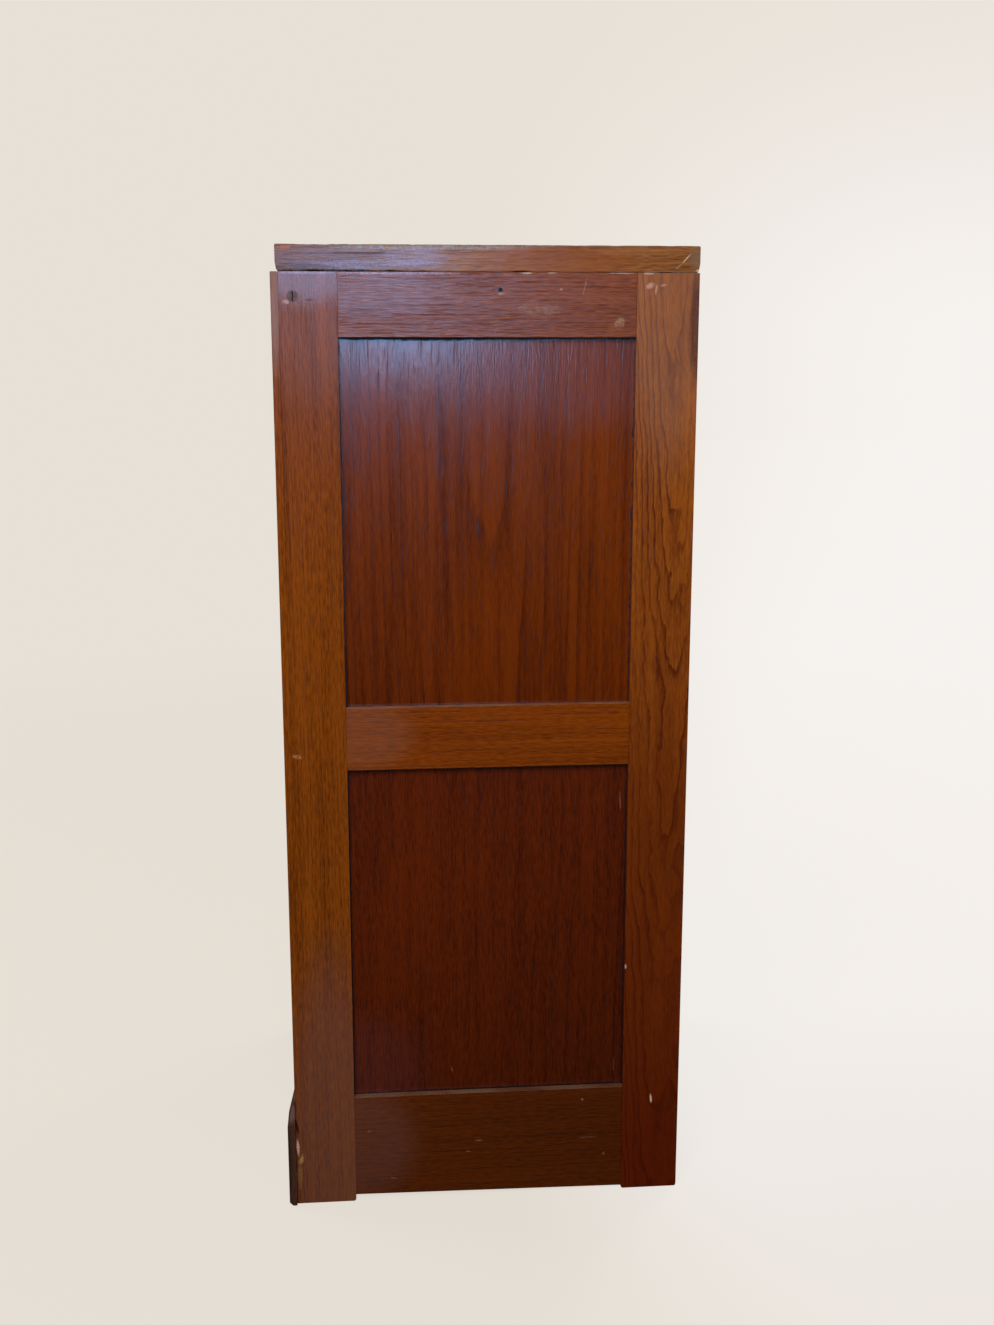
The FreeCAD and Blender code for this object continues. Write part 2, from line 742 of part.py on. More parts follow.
def shutter():
    """Slats in strips, from the lift rail upwards, and the canvas that they are glued to."""
    for strip in range(STRIP_COUNT):
        numbers = range(strip * SLATS_PER_STRIP, (strip + 1) * SLATS_PER_STRIP)
        outlines = [slat_outline(number) for number in numbers]
        piece(profile_body(f"shutter_strip_{strip + 1:02d}", outlines, f"2 * {SLAT_END}"))
    x = f"({SLAT_END} - canvas_inset)"
    y = (SLAT_BACK, f"({SLAT_BACK} + canvas_thick)")
    piece(box("shutter_canvas", (f"-{x}", x), y, (LIFT_RAIL_TOP, SHUTTER_TOP)))


def build():
    for side in SIDES:
        front_stile(side)
        back_stile(side)
        for label, base, top in rails_of_side():
            side_rail(side, label, base, top)
        for label, base, top in panels_of_side():
            side_panel(side, label, base, top)
        lipping(side)
        plinth_block(side)
        guide_strip(side)
        lining_board(side)
    top_board()
    top_dowels()
    head_rail()
    head_rail_screws()
    plinth_board()
    front_sill()
    floor()
    for name, base, top in rails_of_back():
        back_rail(name, base, top)
    for label, base, top in panels_of_side():
        back_panel(label, base, top)
    inner_case()
    for end in ("front", "back"):
        bend_blocks(end)
    shelves()
    lift_rail()
    shutter()


def check():
    """Stops the build at the first feature that failed or piece with a bad shape."""
    for feature in doc.Objects:
        failed = {"Invalid", "Error"} & set(feature.State)
        if failed:
            raise RuntimeError(f"{feature.Label} is {feature.State}")
    for finished in pieces:
        if finished.Shape.isNull() or not finished.Shape.isValid() or not finished.Shape.Solids:
            raise RuntimeError(f"{finished.Label} has no valid shape")


build()
doc.recompute()
check()
os.makedirs("parts", exist_ok=True)
for finished in pieces:
    finished.Shape.exportStep(f"parts/{finished.Label}.step")
    print(finished.Label, len(finished.Shape.Solids), round(finished.Shape.Volume))
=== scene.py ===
import math

import bmesh
import bpy
from mathutils import Matrix, Vector, noise


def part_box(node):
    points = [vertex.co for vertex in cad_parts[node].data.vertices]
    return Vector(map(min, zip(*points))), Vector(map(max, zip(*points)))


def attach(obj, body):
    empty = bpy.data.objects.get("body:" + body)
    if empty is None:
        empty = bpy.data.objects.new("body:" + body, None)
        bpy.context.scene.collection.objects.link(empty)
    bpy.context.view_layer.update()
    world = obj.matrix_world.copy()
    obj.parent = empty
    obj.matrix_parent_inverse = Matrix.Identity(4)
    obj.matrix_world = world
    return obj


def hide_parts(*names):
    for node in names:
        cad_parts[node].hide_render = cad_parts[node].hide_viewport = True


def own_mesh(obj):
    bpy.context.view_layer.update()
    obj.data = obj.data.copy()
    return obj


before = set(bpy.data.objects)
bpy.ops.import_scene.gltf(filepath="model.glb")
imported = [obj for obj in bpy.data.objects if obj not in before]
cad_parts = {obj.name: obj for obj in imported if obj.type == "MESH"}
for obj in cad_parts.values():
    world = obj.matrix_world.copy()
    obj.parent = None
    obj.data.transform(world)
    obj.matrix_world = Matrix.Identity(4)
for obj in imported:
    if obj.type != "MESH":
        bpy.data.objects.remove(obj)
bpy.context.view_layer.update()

# Camera: it stands off the cabinet's right side, a little towards the front and just below the top
# board, so that the side frame fills the picture, the top can't be seen and the front is turned away.
PICTURE_HEIGHT = 1325
FOCAL_PIXELS = 1500.0
SENSOR = 36.0
CAMERA_PLACE = (1.7725, -0.121, 0.948)
CAMERA_GAZE = (-0.9747, 0.0851, -0.2067)
scene = bpy.context.scene
lens = bpy.data.cameras.new("side_view")
lens.sensor_fit = "VERTICAL"
lens.sensor_height = SENSOR
lens.lens = SENSOR * FOCAL_PIXELS / PICTURE_HEIGHT
viewpoint = bpy.data.objects.new("side_view", lens)
viewpoint.location = CAMERA_PLACE
viewpoint.rotation_euler = Vector(CAMERA_GAZE).to_track_quat("-Z", "Y").to_euler()
scene.collection.objects.link(viewpoint)
scene.camera = viewpoint
scene.view_settings.view_transform = "Standard"


# Floor and light: a wide sheet of pale cream paper that fades into a backdrop of the same cream. A soft
# lamp hangs high on the camera's side, a bluish window stands behind the camera, and two wide lamps
# light the back and the front.
def wire(tree, kind, feeds=None, family="ShaderNode", **settings):
    """Adds a node; feeds gives a value or another node's socket to each input."""
    made = tree.nodes.new(family + kind)
    for name, value in settings.items():
        setattr(made, name, value)
    for socket, value in (feeds or {}).items():
        if isinstance(value, bpy.types.NodeSocket):
            tree.links.new(value, made.inputs[socket])
        else:
            made.inputs[socket].default_value = value
    return made


def reckon(tree, operation, *terms):
    """A sum on one to three numbers."""
    return wire(tree, "Math", dict(enumerate(terms)), operation=operation).outputs[0]


def ramped(tree, value, low, high, first=0.0, last=1.0):
    """The value spread smoothly from first at low to last at high."""
    ends = {"Value": value, "From Min": low, "From Max": high, "To Min": first, "To Max": last}
    return wire(tree, "MapRange", ends, interpolation_type="SMOOTHSTEP").outputs[0]


def length_of(tree, vector):
    """A vector's length."""
    return wire(tree, "VectorMath", {0: vector}, operation="LENGTH").outputs["Value"]


def combined(tree, operation, first, second):
    """A sum on two vectors."""
    return wire(tree, "VectorMath", {0: first, 1: second}, operation=operation).outputs[0]


def scaled(tree, vector, factor):
    """The vector times a number."""
    return wire(tree, "VectorMath", {0: vector, "Scale": factor}, operation="SCALE").outputs[0]


def mixed(tree, share, first, second):
    """A colour that goes from first to second with share."""
    return wire(tree, "Mix", {0: share, 6: first, 7: second}, data_type="RGBA").outputs[2]


def tint(red, green, blue, strength=1.0):
    """A screen colour, 0 to 255 each, as the linear colour that Blender mixes."""
    def linear(value):
        share = value / 255
        return share / 12.92 if share <= 0.04045 else ((share + 0.055) / 1.055) ** 2.4
    return (*(linear(value) * strength for value in (red, green, blue)), 1.0)


def bare_material(name):
    """A new material whose node tree is empty."""
    material = bpy.data.materials.new(name)
    material.use_nodes = True
    material.node_tree.nodes.clear()
    return material


PAPER_LEFT = (231, 224, 214)
PAPER_RIGHT = (246, 242, 239)
PAPER_OWN_LIGHT = 0.885
PAPER_LIT_SHARE = 0.12
PAPER_NEAR, PAPER_FAR = 0.9, 3.2
LIGHTER_TO_BACK = (0.02, 0.38)
LIGHTER_LOW_DOWN = (0.0, 0.22, 1.0, 0.2)
FOOT_SPREAD = 0.5
# The dim patch is painted shade on the floor paper, near the camera's side of the cabinet.
DIM_PATCH = (1.2, 0.5, 0.0)
DIM_REACH = (0.5, 1.5, 0.45, 1.0)
FLOOR_RADIUS = 14.0
AMBIENT = 0.22
AMBIENT_TINT = (1.0, 0.97, 0.93, 1.0)


def paper_colour(tree, heading, lightness=1.0, strength=1.0):
    """Cream with painted light: a little lighter towards the cabinet's back and low down; lightness scales
    that.
    """
    bearing = wire(tree, "SeparateXYZ", {0: heading}).outputs
    share = ramped(tree, bearing["Y"], *LIGHTER_TO_BACK)
    share = reckon(tree, "MULTIPLY", share, ramped(tree, bearing["Z"], *LIGHTER_LOW_DOWN))
    share = reckon(tree, "MULTIPLY", share, lightness)
    return mixed(tree, share, tint(*PAPER_LEFT, strength), tint(*PAPER_RIGHT, strength))


studio = bpy.data.worlds.new("studio")
studio.use_nodes = True
scene.world = studio
tree = studio.node_tree
tree.nodes.clear()
backdrop = paper_colour(tree, wire(tree, "TexCoord").outputs["Generated"])
seen = wire(tree, "Background", {"Color": backdrop, "Strength": 1.0}).outputs[0]
shed = wire(tree, "Background", {"Color": AMBIENT_TINT, "Strength": AMBIENT}).outputs[0]
looking = wire(tree, "LightPath").outputs["Is Camera Ray"]
both = wire(tree, "MixShader", {0: looking, 1: shed, 2: seen}).outputs[0]
wire(tree, "OutputWorld", {"Surface": both})
studio.cycles_visibility.glossy = False

paper = bare_material("floor_paper")
tree = paper.node_tree
spot = wire(tree, "TexCoord").outputs["Object"]
away = length_of(tree, spot)
far = ramped(tree, away, PAPER_NEAR, PAPER_FAR)
nearness = reckon(tree, "DIVIDE", 1.0, reckon(tree, "ADD", away, FOOT_SPREAD))
heading = scaled(tree, spot, nearness)
dim = ramped(tree, length_of(tree, combined(tree, "SUBTRACT", spot, DIM_PATCH)), *DIM_REACH)
cream = paper_colour(tree, heading, dim)
glow = mixed(tree, far, paper_colour(tree, heading, dim, PAPER_OWN_LIGHT), cream)
lit = mixed(tree, far, tint(*PAPER_LEFT, PAPER_LIT_SHARE), (0.0, 0.0, 0.0, 1.0))
sheet = wire(tree, "BsdfDiffuse", {"Color": lit}).outputs[0]
shine = wire(tree, "Emission", {"Color": glow}).outputs[0]
whole = wire(tree, "AddShader", {0: sheet, 1: shine}).outputs[0]
wire(tree, "OutputMaterial", {"Surface": whole})
shape = bmesh.new()
bmesh.ops.create_circle(shape, cap_ends=True, segments=96, radius=FLOOR_RADIUS)
floor_mesh = bpy.data.meshes.new("floor")
shape.to_mesh(floor_mesh)
shape.free()
floor_mesh.materials.append(paper)
floor = bpy.data.objects.new("floor", floor_mesh)
scene.collection.objects.link(floor)
floor.visible_diffuse = False
floor.visible_glossy = False


def lamp(name, place, aim, size, power, colour, mirrored=True):
    """A soft rectangular lamp that shines from place towards aim; mirrored, it shows in gloss."""
    light = bpy.data.lights.new(name, "AREA")
    light.shape = "RECTANGLE"
    light.size, light.size_y = size
    light.energy = power
    light.color = colour
    holder = bpy.data.objects.new(name, light)
    holder.location = place
    holder.rotation_euler = (Vector(aim) - Vector(place)).to_track_quat("-Z", "Y").to_euler()
    holder.visible_camera = False
    holder.visible_glossy = mirrored
    scene.collection.objects.link(holder)


SOFT_WHITE = (1.0, 0.97, 0.92)
WARM_WHITE = (1.0, 0.95, 0.88)
WINDOW_BLUE = (0.2, 0.53, 1.0)
lamp("high_front_lamp", place=(1.8, -0.5, 1.78), aim=(0.15, 0.0, 0.75), size=(0.9, 0.9), power=34.0,
     colour=WARM_WHITE, mirrored=False)
lamp("window", place=(3.5, -0.02, 1.36), aim=(0.2275, -0.08, 0.98), size=(0.54, 0.92), power=23.0,
     colour=WINDOW_BLUE)
lamp("back_lamp", place=(-1.9, 1.9, 1.9), aim=(0.0, 0.0, 0.6), size=(1.2, 1.2), power=40.0,
     colour=SOFT_WHITE, mirrored=False)
lamp("front_lamp", place=(-0.9, -2.3, 1.5), aim=(0.0, -0.2, 0.6), size=(1.2, 1.2), power=26.0,
     colour=SOFT_WHITE)


# Side frames: two stiles, three rails and two thin panels on each side, planed from red-brown stained
# oak and lacquered. Tenons hold the rails, and the panels lie loose in grooves, 9 mm back from the face.
# Wear has rounded the stiles' feet, and the bottom rails' lower edges run down a little to the back.
def grouped(name, takes, gives):
    """A shader group: its tree, what it is given and what it gives."""
    group = bpy.data.node_groups.new(name, "ShaderNodeTree")
    for direction, sockets in (("INPUT", takes), ("OUTPUT", gives)):
        for label, kind in sockets:
            group.interface.new_socket(name=label, in_out=direction, socket_type="NodeSocket" + kind)
    return group, group.nodes.new("NodeGroupInput").outputs, group.nodes.new("NodeGroupOutput").inputs


def mottle(tree, place, along, scale, detail=2.0):
    """Noise drawn out along the grain; along is how much slower it changes that way."""
    drawn = combined(tree, "MULTIPLY", place, (1.0, 1.0, along))
    return wire(tree, "TexNoise", {"Vector": drawn, "Scale": scale, "Detail": detail}).outputs


oak, asked, given = grouped(
    "stained_oak",
    [("Place", "Vector"), ("Light wood", "Color"), ("Dark wood", "Color"), ("Pore stain", "Color"),
     ("Ring gap", "Float"), ("Ring depth", "Float"), ("Pore depth", "Float"), ("Waver", "Float"),
     ("Streak depth", "Float"), ("Fleck depth", "Float"), ("Cloud depth", "Float"), ("Polish", "Float"),
     ("Ragged rings", "Float")],
    [("Colour", "Color"), ("Roughness", "Float"), ("Height", "Float")],
)
place = asked["Place"]
drift = combined(oak, "SUBTRACT", mottle(oak, place, along=0.3, scale=9.0)["Color"], (0.5, 0.5, 0.5))
bent = combined(oak, "ADD", place, scaled(oak, drift, asked["Waver"]))
from_pith = length_of(oak, combined(oak, "MULTIPLY", bent, (1.0, 1.0, 0.0)))
years = reckon(oak, "DIVIDE", from_pith, asked["Ring gap"])
years = reckon(oak, "ADD", years, mottle(oak, place, along=0.1, scale=30.0)["Fac"])
unruly = reckon(oak, "SUBTRACT", mottle(oak, place, along=0.35, scale=60.0, detail=3.0)["Fac"], 0.5)
years = reckon(oak, "MULTIPLY_ADD", unruly, asked["Ragged rings"], years)
season = reckon(oak, "FRACT", years)
ring = wire(oak, "ValToRGB", {"Fac": season})
for position, grey in ((0.1, 0.8), (0.3, 0.22), (0.6, 0.05), (0.94, 0.0)):
    ring.color_ramp.elements.new(position).color = (grey, grey, grey, 1.0)
ring.color_ramp.elements[0].color = (1.0, 1.0, 1.0, 1.0)
ring = ring.outputs["Color"]
fading = ramped(oak, mottle(oak, place, along=0.12, scale=22.0)["Fac"], 0.36, 0.62, 0.35, 1.0)
ring = reckon(oak, "MULTIPLY", ring, fading)
pores = ramped(oak, mottle(oak, place, along=0.06, scale=430.0)["Fac"], 0.52, 0.68)
pores = reckon(oak, "MULTIPLY", pores, reckon(oak, "MULTIPLY_ADD", ring, 0.6, 0.45))
streak = reckon(oak, "SUBTRACT", mottle(oak, place, along=0.03, scale=110.0, detail=5.0)["Fac"], 0.5)
fleck = reckon(oak, "SUBTRACT", mottle(oak, place, along=0.12, scale=700.0)["Fac"], 0.5)
cloud = reckon(oak, "SUBTRACT", mottle(oak, place, along=0.3, scale=12.0)["Fac"], 0.5)
shade = reckon(oak, "MULTIPLY_ADD", ring, asked["Ring depth"], 0.3)
shade = reckon(oak, "MULTIPLY_ADD", streak, asked["Streak depth"], shade)
shade = reckon(oak, "MULTIPLY_ADD", fleck, asked["Fleck depth"], shade)
shade = reckon(oak, "MULTIPLY_ADD", cloud, asked["Cloud depth"], shade)
colour = mixed(oak, shade, asked["Light wood"], asked["Dark wood"])
stain = reckon(oak, "MULTIPLY", pores, asked["Pore depth"])
oak.links.new(mixed(oak, stain, colour, asked["Pore stain"]), given["Colour"])
rough = reckon(oak, "MULTIPLY_ADD", pores, 0.14, asked["Polish"])
oak.links.new(reckon(oak, "MULTIPLY_ADD", cloud, 0.1, rough), given["Roughness"])
hollow = reckon(oak, "MULTIPLY_ADD", stain, -0.8, 1.0)
hollow = reckon(oak, "MULTIPLY_ADD", ring, -0.25, hollow)
hollow = reckon(oak, "MULTIPLY_ADD", fleck, -0.9, hollow)
oak.links.new(reckon(oak, "MULTIPLY_ADD", streak, 0.6, hollow), given["Height"])

rubbed, asked, given = grouped(
    "rubbed_edges",
    [("Place", "Vector"), ("Colour", "Color"), ("Roughness", "Float"), ("Arris", "Float"),
     ("Rub", "Float"), ("Bare wood", "Color")],
    [("Colour", "Color"), ("Roughness", "Float")],
)
patch = mottle(rubbed, asked["Place"], along=1.0, scale=70.0, detail=5.0)["Fac"]
rub = ramped(rubbed, reckon(rubbed, "ADD", patch, asked["Rub"]), 0.72, 0.98)
rub = reckon(rubbed, "MULTIPLY", rub, asked["Arris"])
rubbed.links.new(mixed(rubbed, rub, asked["Colour"], asked["Bare wood"]), given["Colour"])
dulled = reckon(rubbed, "MULTIPLY_ADD", asked["Arris"], 0.3, asked["Roughness"])
rubbed.links.new(reckon(rubbed, "MULTIPLY_ADD", rub, 0.2, dulled), given["Roughness"])

dusty, asked, given = grouped(
    "settled_dust",
    [("Place", "Vector"), ("Colour", "Color"), ("Roughness", "Float"), ("Dust", "Float")],
    [("Colour", "Color"), ("Roughness", "Float")],
)
facing = wire(dusty, "SeparateXYZ", {0: wire(dusty, "NewGeometry").outputs["Normal"]}).outputs["Z"]
settled = reckon(dusty, "MULTIPLY", ramped(dusty, facing, 0.5, 0.95), asked["Dust"])
drifts = mottle(dusty, asked["Place"], along=1.0, scale=26.0, detail=4.0)["Fac"]
settled = reckon(dusty, "MULTIPLY", settled, ramped(dusty, drifts, 0.3, 0.7, 0.4, 1.0))
DUST = (150, 118, 88)
dusty.links.new(mixed(dusty, settled, asked["Colour"], tint(*DUST)), given["Colour"])
dusty.links.new(reckon(dusty, "MULTIPLY_ADD", settled, 0.35, asked["Roughness"]), given["Roughness"])

# The mask of one mark. Marks paint stains and wear, and some paint sheen, highlights or shade.
mark_and_painted_light, asked, given = grouped(
    "mark_and_painted_light", [("Place", "Vector"), ("Centred", "Vector"), ("Broken", "Float")], [("Mask", "Float")]
)
fringe = mottle(mark_and_painted_light, asked["Place"], along=1.0, scale=900.0, detail=4.0)["Fac"]
fringe = reckon(mark_and_painted_light, "SUBTRACT", fringe, 0.5)
torn = reckon(mark_and_painted_light, "MULTIPLY_ADD", asked["Broken"], 1.6, 0.4)
reach = reckon(mark_and_painted_light, "MULTIPLY_ADD", fringe, torn, length_of(mark_and_painted_light, asked["Centred"]))
whole = ramped(mark_and_painted_light, reach, 0.45, 1.0, 1.0, 0.0)
gaps = mottle(mark_and_painted_light, asked["Place"], along=1.0, scale=420.0, detail=3.0)["Fac"]
gone = ramped(mark_and_painted_light, gaps, 0.46, 0.56, 1.0, 0.0)
kept = reckon(mark_and_painted_light, "SUBTRACT", 1.0, reckon(mark_and_painted_light, "MULTIPLY", gone, asked["Broken"]))
mark_and_painted_light.links.new(reckon(mark_and_painted_light, "MULTIPLY", whole, kept), given["Mask"])

# Painted shade: the wood is tinted darker towards the foot, and also towards the back where it slants, for
# light that falls off low down.
painted_shade_group, asked, given = grouped(
    "painted_low_shade",
    [("Place", "Vector"), ("Colour", "Color"), ("Shade tint", "Color"), ("Low", "Float"), ("High", "Float"),
     ("Slant", "Float")],
    [("Colour", "Color")],
)
rise = wire(painted_shade_group, "SeparateXYZ", {0: asked["Place"]}).outputs
slope = reckon(painted_shade_group, "SUBTRACT", rise["Z"], reckon(painted_shade_group, "MULTIPLY", rise["Y"], asked["Slant"]))
ends = {"Value": slope, "From Min": asked["Low"], "From Max": asked["High"], "To Min": 1.0, "To Max": 0.0}
painted_shading = wire(painted_shade_group, "MapRange", ends).outputs[0]
foot = wire(painted_shade_group, "Mix", {0: painted_shading, 6: asked["Colour"], 7: asked["Shade tint"]}, data_type="RGBA",
            blend_type="MULTIPLY")
painted_shade_group.links.new(foot.outputs[2], given["Colour"])

# Painted shade: a dark rim along a recessed panel's edges, under the rails and beside the stiles, where the
# frame shades it.
edge_shade_group, asked, given = grouped(
    "painted_edge_shade",
    [("Place", "Vector"), ("Colour", "Color"), ("Roughness", "Float"), ("Low corner", "Vector"),
     ("High corner", "Vector"), ("Reach", "Float"), ("Shade colour", "Color")],
    [("Colour", "Color"), ("Roughness", "Float")],
)
above = combined(edge_shade_group, "SUBTRACT", asked["Place"], asked["Low corner"])
below = combined(edge_shade_group, "SUBTRACT", asked["High corner"], asked["Place"])
near = wire(edge_shade_group, "SeparateXYZ", {0: combined(edge_shade_group, "MINIMUM", above, below)}).outputs
near = reckon(edge_shade_group, "MINIMUM", near["Y"], near["Z"])
uneven_edge = mottle(edge_shade_group, asked["Place"], along=1.0, scale=120.0, detail=4.0)["Fac"]
uneven_edge = reckon(edge_shade_group, "MULTIPLY", reckon(edge_shade_group, "SUBTRACT", uneven_edge, 0.5), asked["Reach"])
near = reckon(edge_shade_group, "MULTIPLY_ADD", uneven_edge, 1.6, near)
edge_shading = ramped(edge_shade_group, near, reckon(edge_shade_group, "MULTIPLY", asked["Reach"], 0.25), asked["Reach"], 0.9, 0.0)
edge_shade_group.links.new(mixed(edge_shade_group, edge_shading, asked["Colour"], asked["Shade colour"]), given["Colour"])
edge_shade_group.links.new(reckon(edge_shade_group, "MULTIPLY_ADD", edge_shading, 0.5, asked["Roughness"]), given["Roughness"])

GRAIN_TURN = {"up": (0.0, 0.0, 0.0), "back": (-math.pi / 2, 0.0, 0.0), "across": (0.0, math.pi / 2, 0.0)}
BARE_WOOD = (168, 128, 92)
# The colour of the painted shade along a panel's edges.
EDGE_SHADE_TONE = (34, 10, 4)
# The default painted shade towards the foot: its tint, low and high heights, and slant.
FOOT_SHADE_PAINT = ((0.58, 0.56, 0.56, 1.0), -0.12, 0.42, 0.6)
STICK_SHIFT = (0.9, 0.04, 0.06)
RELIEF_STRENGTH = 0.6


def lacquered_oak(name, tones, grain, pith, lean=(0.0, 0.0), ring_gap=0.005, ring_depth=0.5, ragged=0.0,
                  pore_depth=0.5, waver=0.01, streak=1.5, fleck=2.2, cloud=0.7, polish=0.22, gloss=0.4,
                  rub=0.08, bare=BARE_WOOD, dust=0.15, relief=0.00022, uneven=0.0, painted_shading=FOOT_SHADE_PAINT,
                  corners=None, marks=()):
    """Stained oak: its rings lie round a pith line that runs along the grain, up, back or across.

    The tones are the light wood, the dark wood and the stain in the pores. A mark is its colour, centre,
    half sizes, tilt in degrees, strength and how broken up it is; some marks are painted sheen, highlights
    or shade. The foot tint is painted shade that darkens the wood towards the foot, and corners paint a
    dark rim of shade along a panel's edges.
    """
    finish = bare_material(name)
    tree = finish.node_tree
    place = wire(tree, "TexCoord").outputs["Object"]
    turn = [math.radians(tip) + base for tip, base in zip((*lean, 0.0), GRAIN_TURN[grain])]
    stick = wire(tree, "Attribute", attribute_name="stick").outputs["Fac"]
    own = combined(tree, "ADD", place, scaled(tree, STICK_SHIFT, stick))
    bed = wire(tree, "Mapping", {"Vector": own, "Location": pith, "Rotation": turn}, vector_type="TEXTURE")
    light, dark, pore = (tint(*tone) for tone in tones)
    wood = wire(tree, "Group", {
        "Place": bed.outputs[0], "Light wood": light, "Dark wood": dark, "Pore stain": pore,
        "Ring gap": ring_gap, "Ring depth": ring_depth, "Ragged rings": ragged, "Pore depth": pore_depth,
        "Waver": waver, "Streak depth": streak, "Fleck depth": fleck, "Cloud depth": cloud,
        "Polish": polish,
    }, node_tree=oak).outputs
    colour, rough = wood["Colour"], wood["Roughness"]
    if uneven:
        colour = mixed(tree, reckon(tree, "MULTIPLY", stick, uneven), colour, dark)
    arris = wire(tree, "Attribute", attribute_name="arris").outputs["Fac"]
    layers = [
        (rubbed, {"Arris": arris, "Rub": rub, "Bare wood": tint(*bare)}),
        (dusty, {"Dust": dust}),
    ]
    # Corners paint a dark rim of shade along the panel's edges.
    if corners:
        shaded_edges = dict(zip(("Low corner", "High corner", "Reach"), corners))
        layers.append((edge_shade_group, {**shaded_edges, "Shade colour": tint(*EDGE_SHADE_TONE)}))
    for group, values in layers:
        feeds = {"Place": place, "Colour": colour, "Roughness": rough, **values}
        layer = wire(tree, "Group", feeds, node_tree=group).outputs
        colour, rough = layer["Colour"], layer["Roughness"]
    # Painted shade, darker towards the foot.
    feeds = {"Place": place, "Colour": colour, **dict(zip(("Shade tint", "Low", "High", "Slant"), painted_shading))}
    colour = wire(tree, "Group", feeds, node_tree=painted_shade_group).outputs["Colour"]
    for tone, centre, size, tilt, strength, broken in marks:
        spot = wire(tree, "Mapping", {"Vector": place, "Location": centre, "Scale": size,
                                      "Rotation": (math.radians(tilt), 0.0, 0.0)}, vector_type="TEXTURE")
        feeds = {"Place": place, "Centred": spot.outputs[0], "Broken": broken}
        mark = wire(tree, "Group", feeds, node_tree=mark_and_painted_light).outputs["Mask"]
        colour = mixed(tree, reckon(tree, "MULTIPLY", mark, strength), colour, tint(*tone))
    bump = wire(tree, "Bump", {"Strength": RELIEF_STRENGTH, "Distance": relief, "Height": wood["Height"]})
    skin = wire(tree, "BsdfPrincipled", {"Base Color": colour, "Roughness": rough,
                                         "Normal": bump.outputs[0], "Specular IOR Level": gloss})
    wire(tree, "OutputMaterial", {"Surface": skin.outputs[0]})
    return finish


LIPPING_BACK = -0.2
SAME_PLACE = 1e-5
SLIVER = 2e-5
FLATNESS = math.radians(0.5)
EASED_FROM, EASED_TO = math.radians(25), math.radians(150)
FOOT_SEGMENTS = 4
COARSE_WEAR, FINE_WEAR, FINE_SHARE = 60.0, 190.0, 0.5
WEAR_MIDWAY, WEAR_TO_FRONT, WEAR_ABOVE_SHARE = 0.75, 2.0, 0.4


def planed(node, ease, shortest=0.012, segments=2, cuts=0, wear=0.0, foot=0.0):
    """A copy of a board's mesh whose long outer edges are eased and marked as arrises.

    With cuts and wear, those edges are also split up and worn unevenly, most of all at the front.
    With foot, the board's free corners on the floor are rounded by that much.
    """
    shape = bmesh.new()
    shape.from_mesh(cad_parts[node].data)
    bmesh.ops.remove_doubles(shape, verts=shape.verts, dist=SAME_PLACE)
    bmesh.ops.dissolve_limit(shape, angle_limit=FLATNESS, verts=shape.verts, edges=shape.edges)
    if foot:
        floor_level = min(vert.co.z for vert in shape.verts) + SAME_PLACE
        corners = [
            edge for edge in shape.edges
            if all(vert.co.z < floor_level and vert.co.y > LIPPING_BACK for vert in edge.verts)
            and abs(edge.verts[0].co.y - edge.verts[1].co.y) < SAME_PLACE
        ]
        bmesh.ops.bevel(shape, geom=corners, offset=foot, offset_type="OFFSET", segments=FOOT_SEGMENTS,
                        profile=0.5, affect="EDGES", clamp_overlap=True)
    arris = shape.faces.layers.float.new("arris")
    edges = [
        edge for edge in shape.edges
        if edge.is_manifold and edge.is_convex and edge.calc_length() > shortest
        and EASED_FROM < edge.calc_face_angle() < EASED_TO
    ]
    if cuts:
        split = bmesh.ops.bisect_edges(shape, edges=edges, cuts=cuts)["geom_split"]
        edges = list({*edges, *(part for part in split if isinstance(part, bmesh.types.BMEdge))})
    made = bmesh.ops.bevel(shape, geom=edges, offset=ease, offset_type="OFFSET", segments=segments,
                           profile=0.5, affect="EDGES", clamp_overlap=True)
    for face in made["faces"]:
        face[arris] = 1.0
    middle = sum((vert.co for vert in shape.verts), Vector()) / len(shape.verts)
    for vert in {vert for face in made["faces"] for vert in face.verts} if wear else ():
        bite = noise.noise(vert.co * COARSE_WEAR) + FINE_SHARE * noise.noise(vert.co * FINE_WEAR)
        bite = max(0.0, bite) * wear * (WEAR_MIDWAY - WEAR_TO_FRONT * vert.co.y)
        vert.co.z += bite if vert.co.z < middle.z else -WEAR_ABOVE_SHARE * bite
    bmesh.ops.dissolve_degenerate(shape, dist=SLIVER, edges=shape.edges)
    mesh = bpy.data.meshes.new(f"{node}_dressed")
    shape.to_mesh(mesh)
    shape.free()
    return mesh


HOLE_SEGMENTS = 18


def bored(mesh, mouth, radius, depth):
    """The mesh with a blind hole square into its right-hand face."""
    board = bpy.data.objects.new("board", mesh)
    shape = bmesh.new()
    across = Matrix.Translation(mouth) @ Matrix.Rotation(math.pi / 2, 4, "Y")
    bmesh.ops.create_cone(shape, cap_ends=True, segments=HOLE_SEGMENTS, radius1=radius, radius2=radius,
                          depth=2 * depth, matrix=across)
    plug = bpy.data.objects.new("plug", bpy.data.meshes.new("plug"))
    shape.to_mesh(plug.data)
    shape.free()
    scene.collection.objects.link(board)
    scene.collection.objects.link(plug)
    hole = board.modifiers.new("hole", "BOOLEAN")
    hole.operation = "DIFFERENCE"
    hole.object = plug
    result = bpy.data.meshes.new_from_object(board.evaluated_get(bpy.context.evaluated_depsgraph_get()))
    bpy.data.objects.remove(board)
    bpy.data.objects.remove(plug)
    return result


def fitted(name, mesh, finish, body, slot, *nodes):
    """The finished piece in its place: it rides on a body and stands for its CAD nodes."""
    mesh.materials.clear()
    mesh.materials.append(finish)
    piece = bpy.data.objects.new(name, mesh)
    scene.collection.objects.link(piece)
    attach(piece, body)
    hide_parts(*nodes)
    return piece


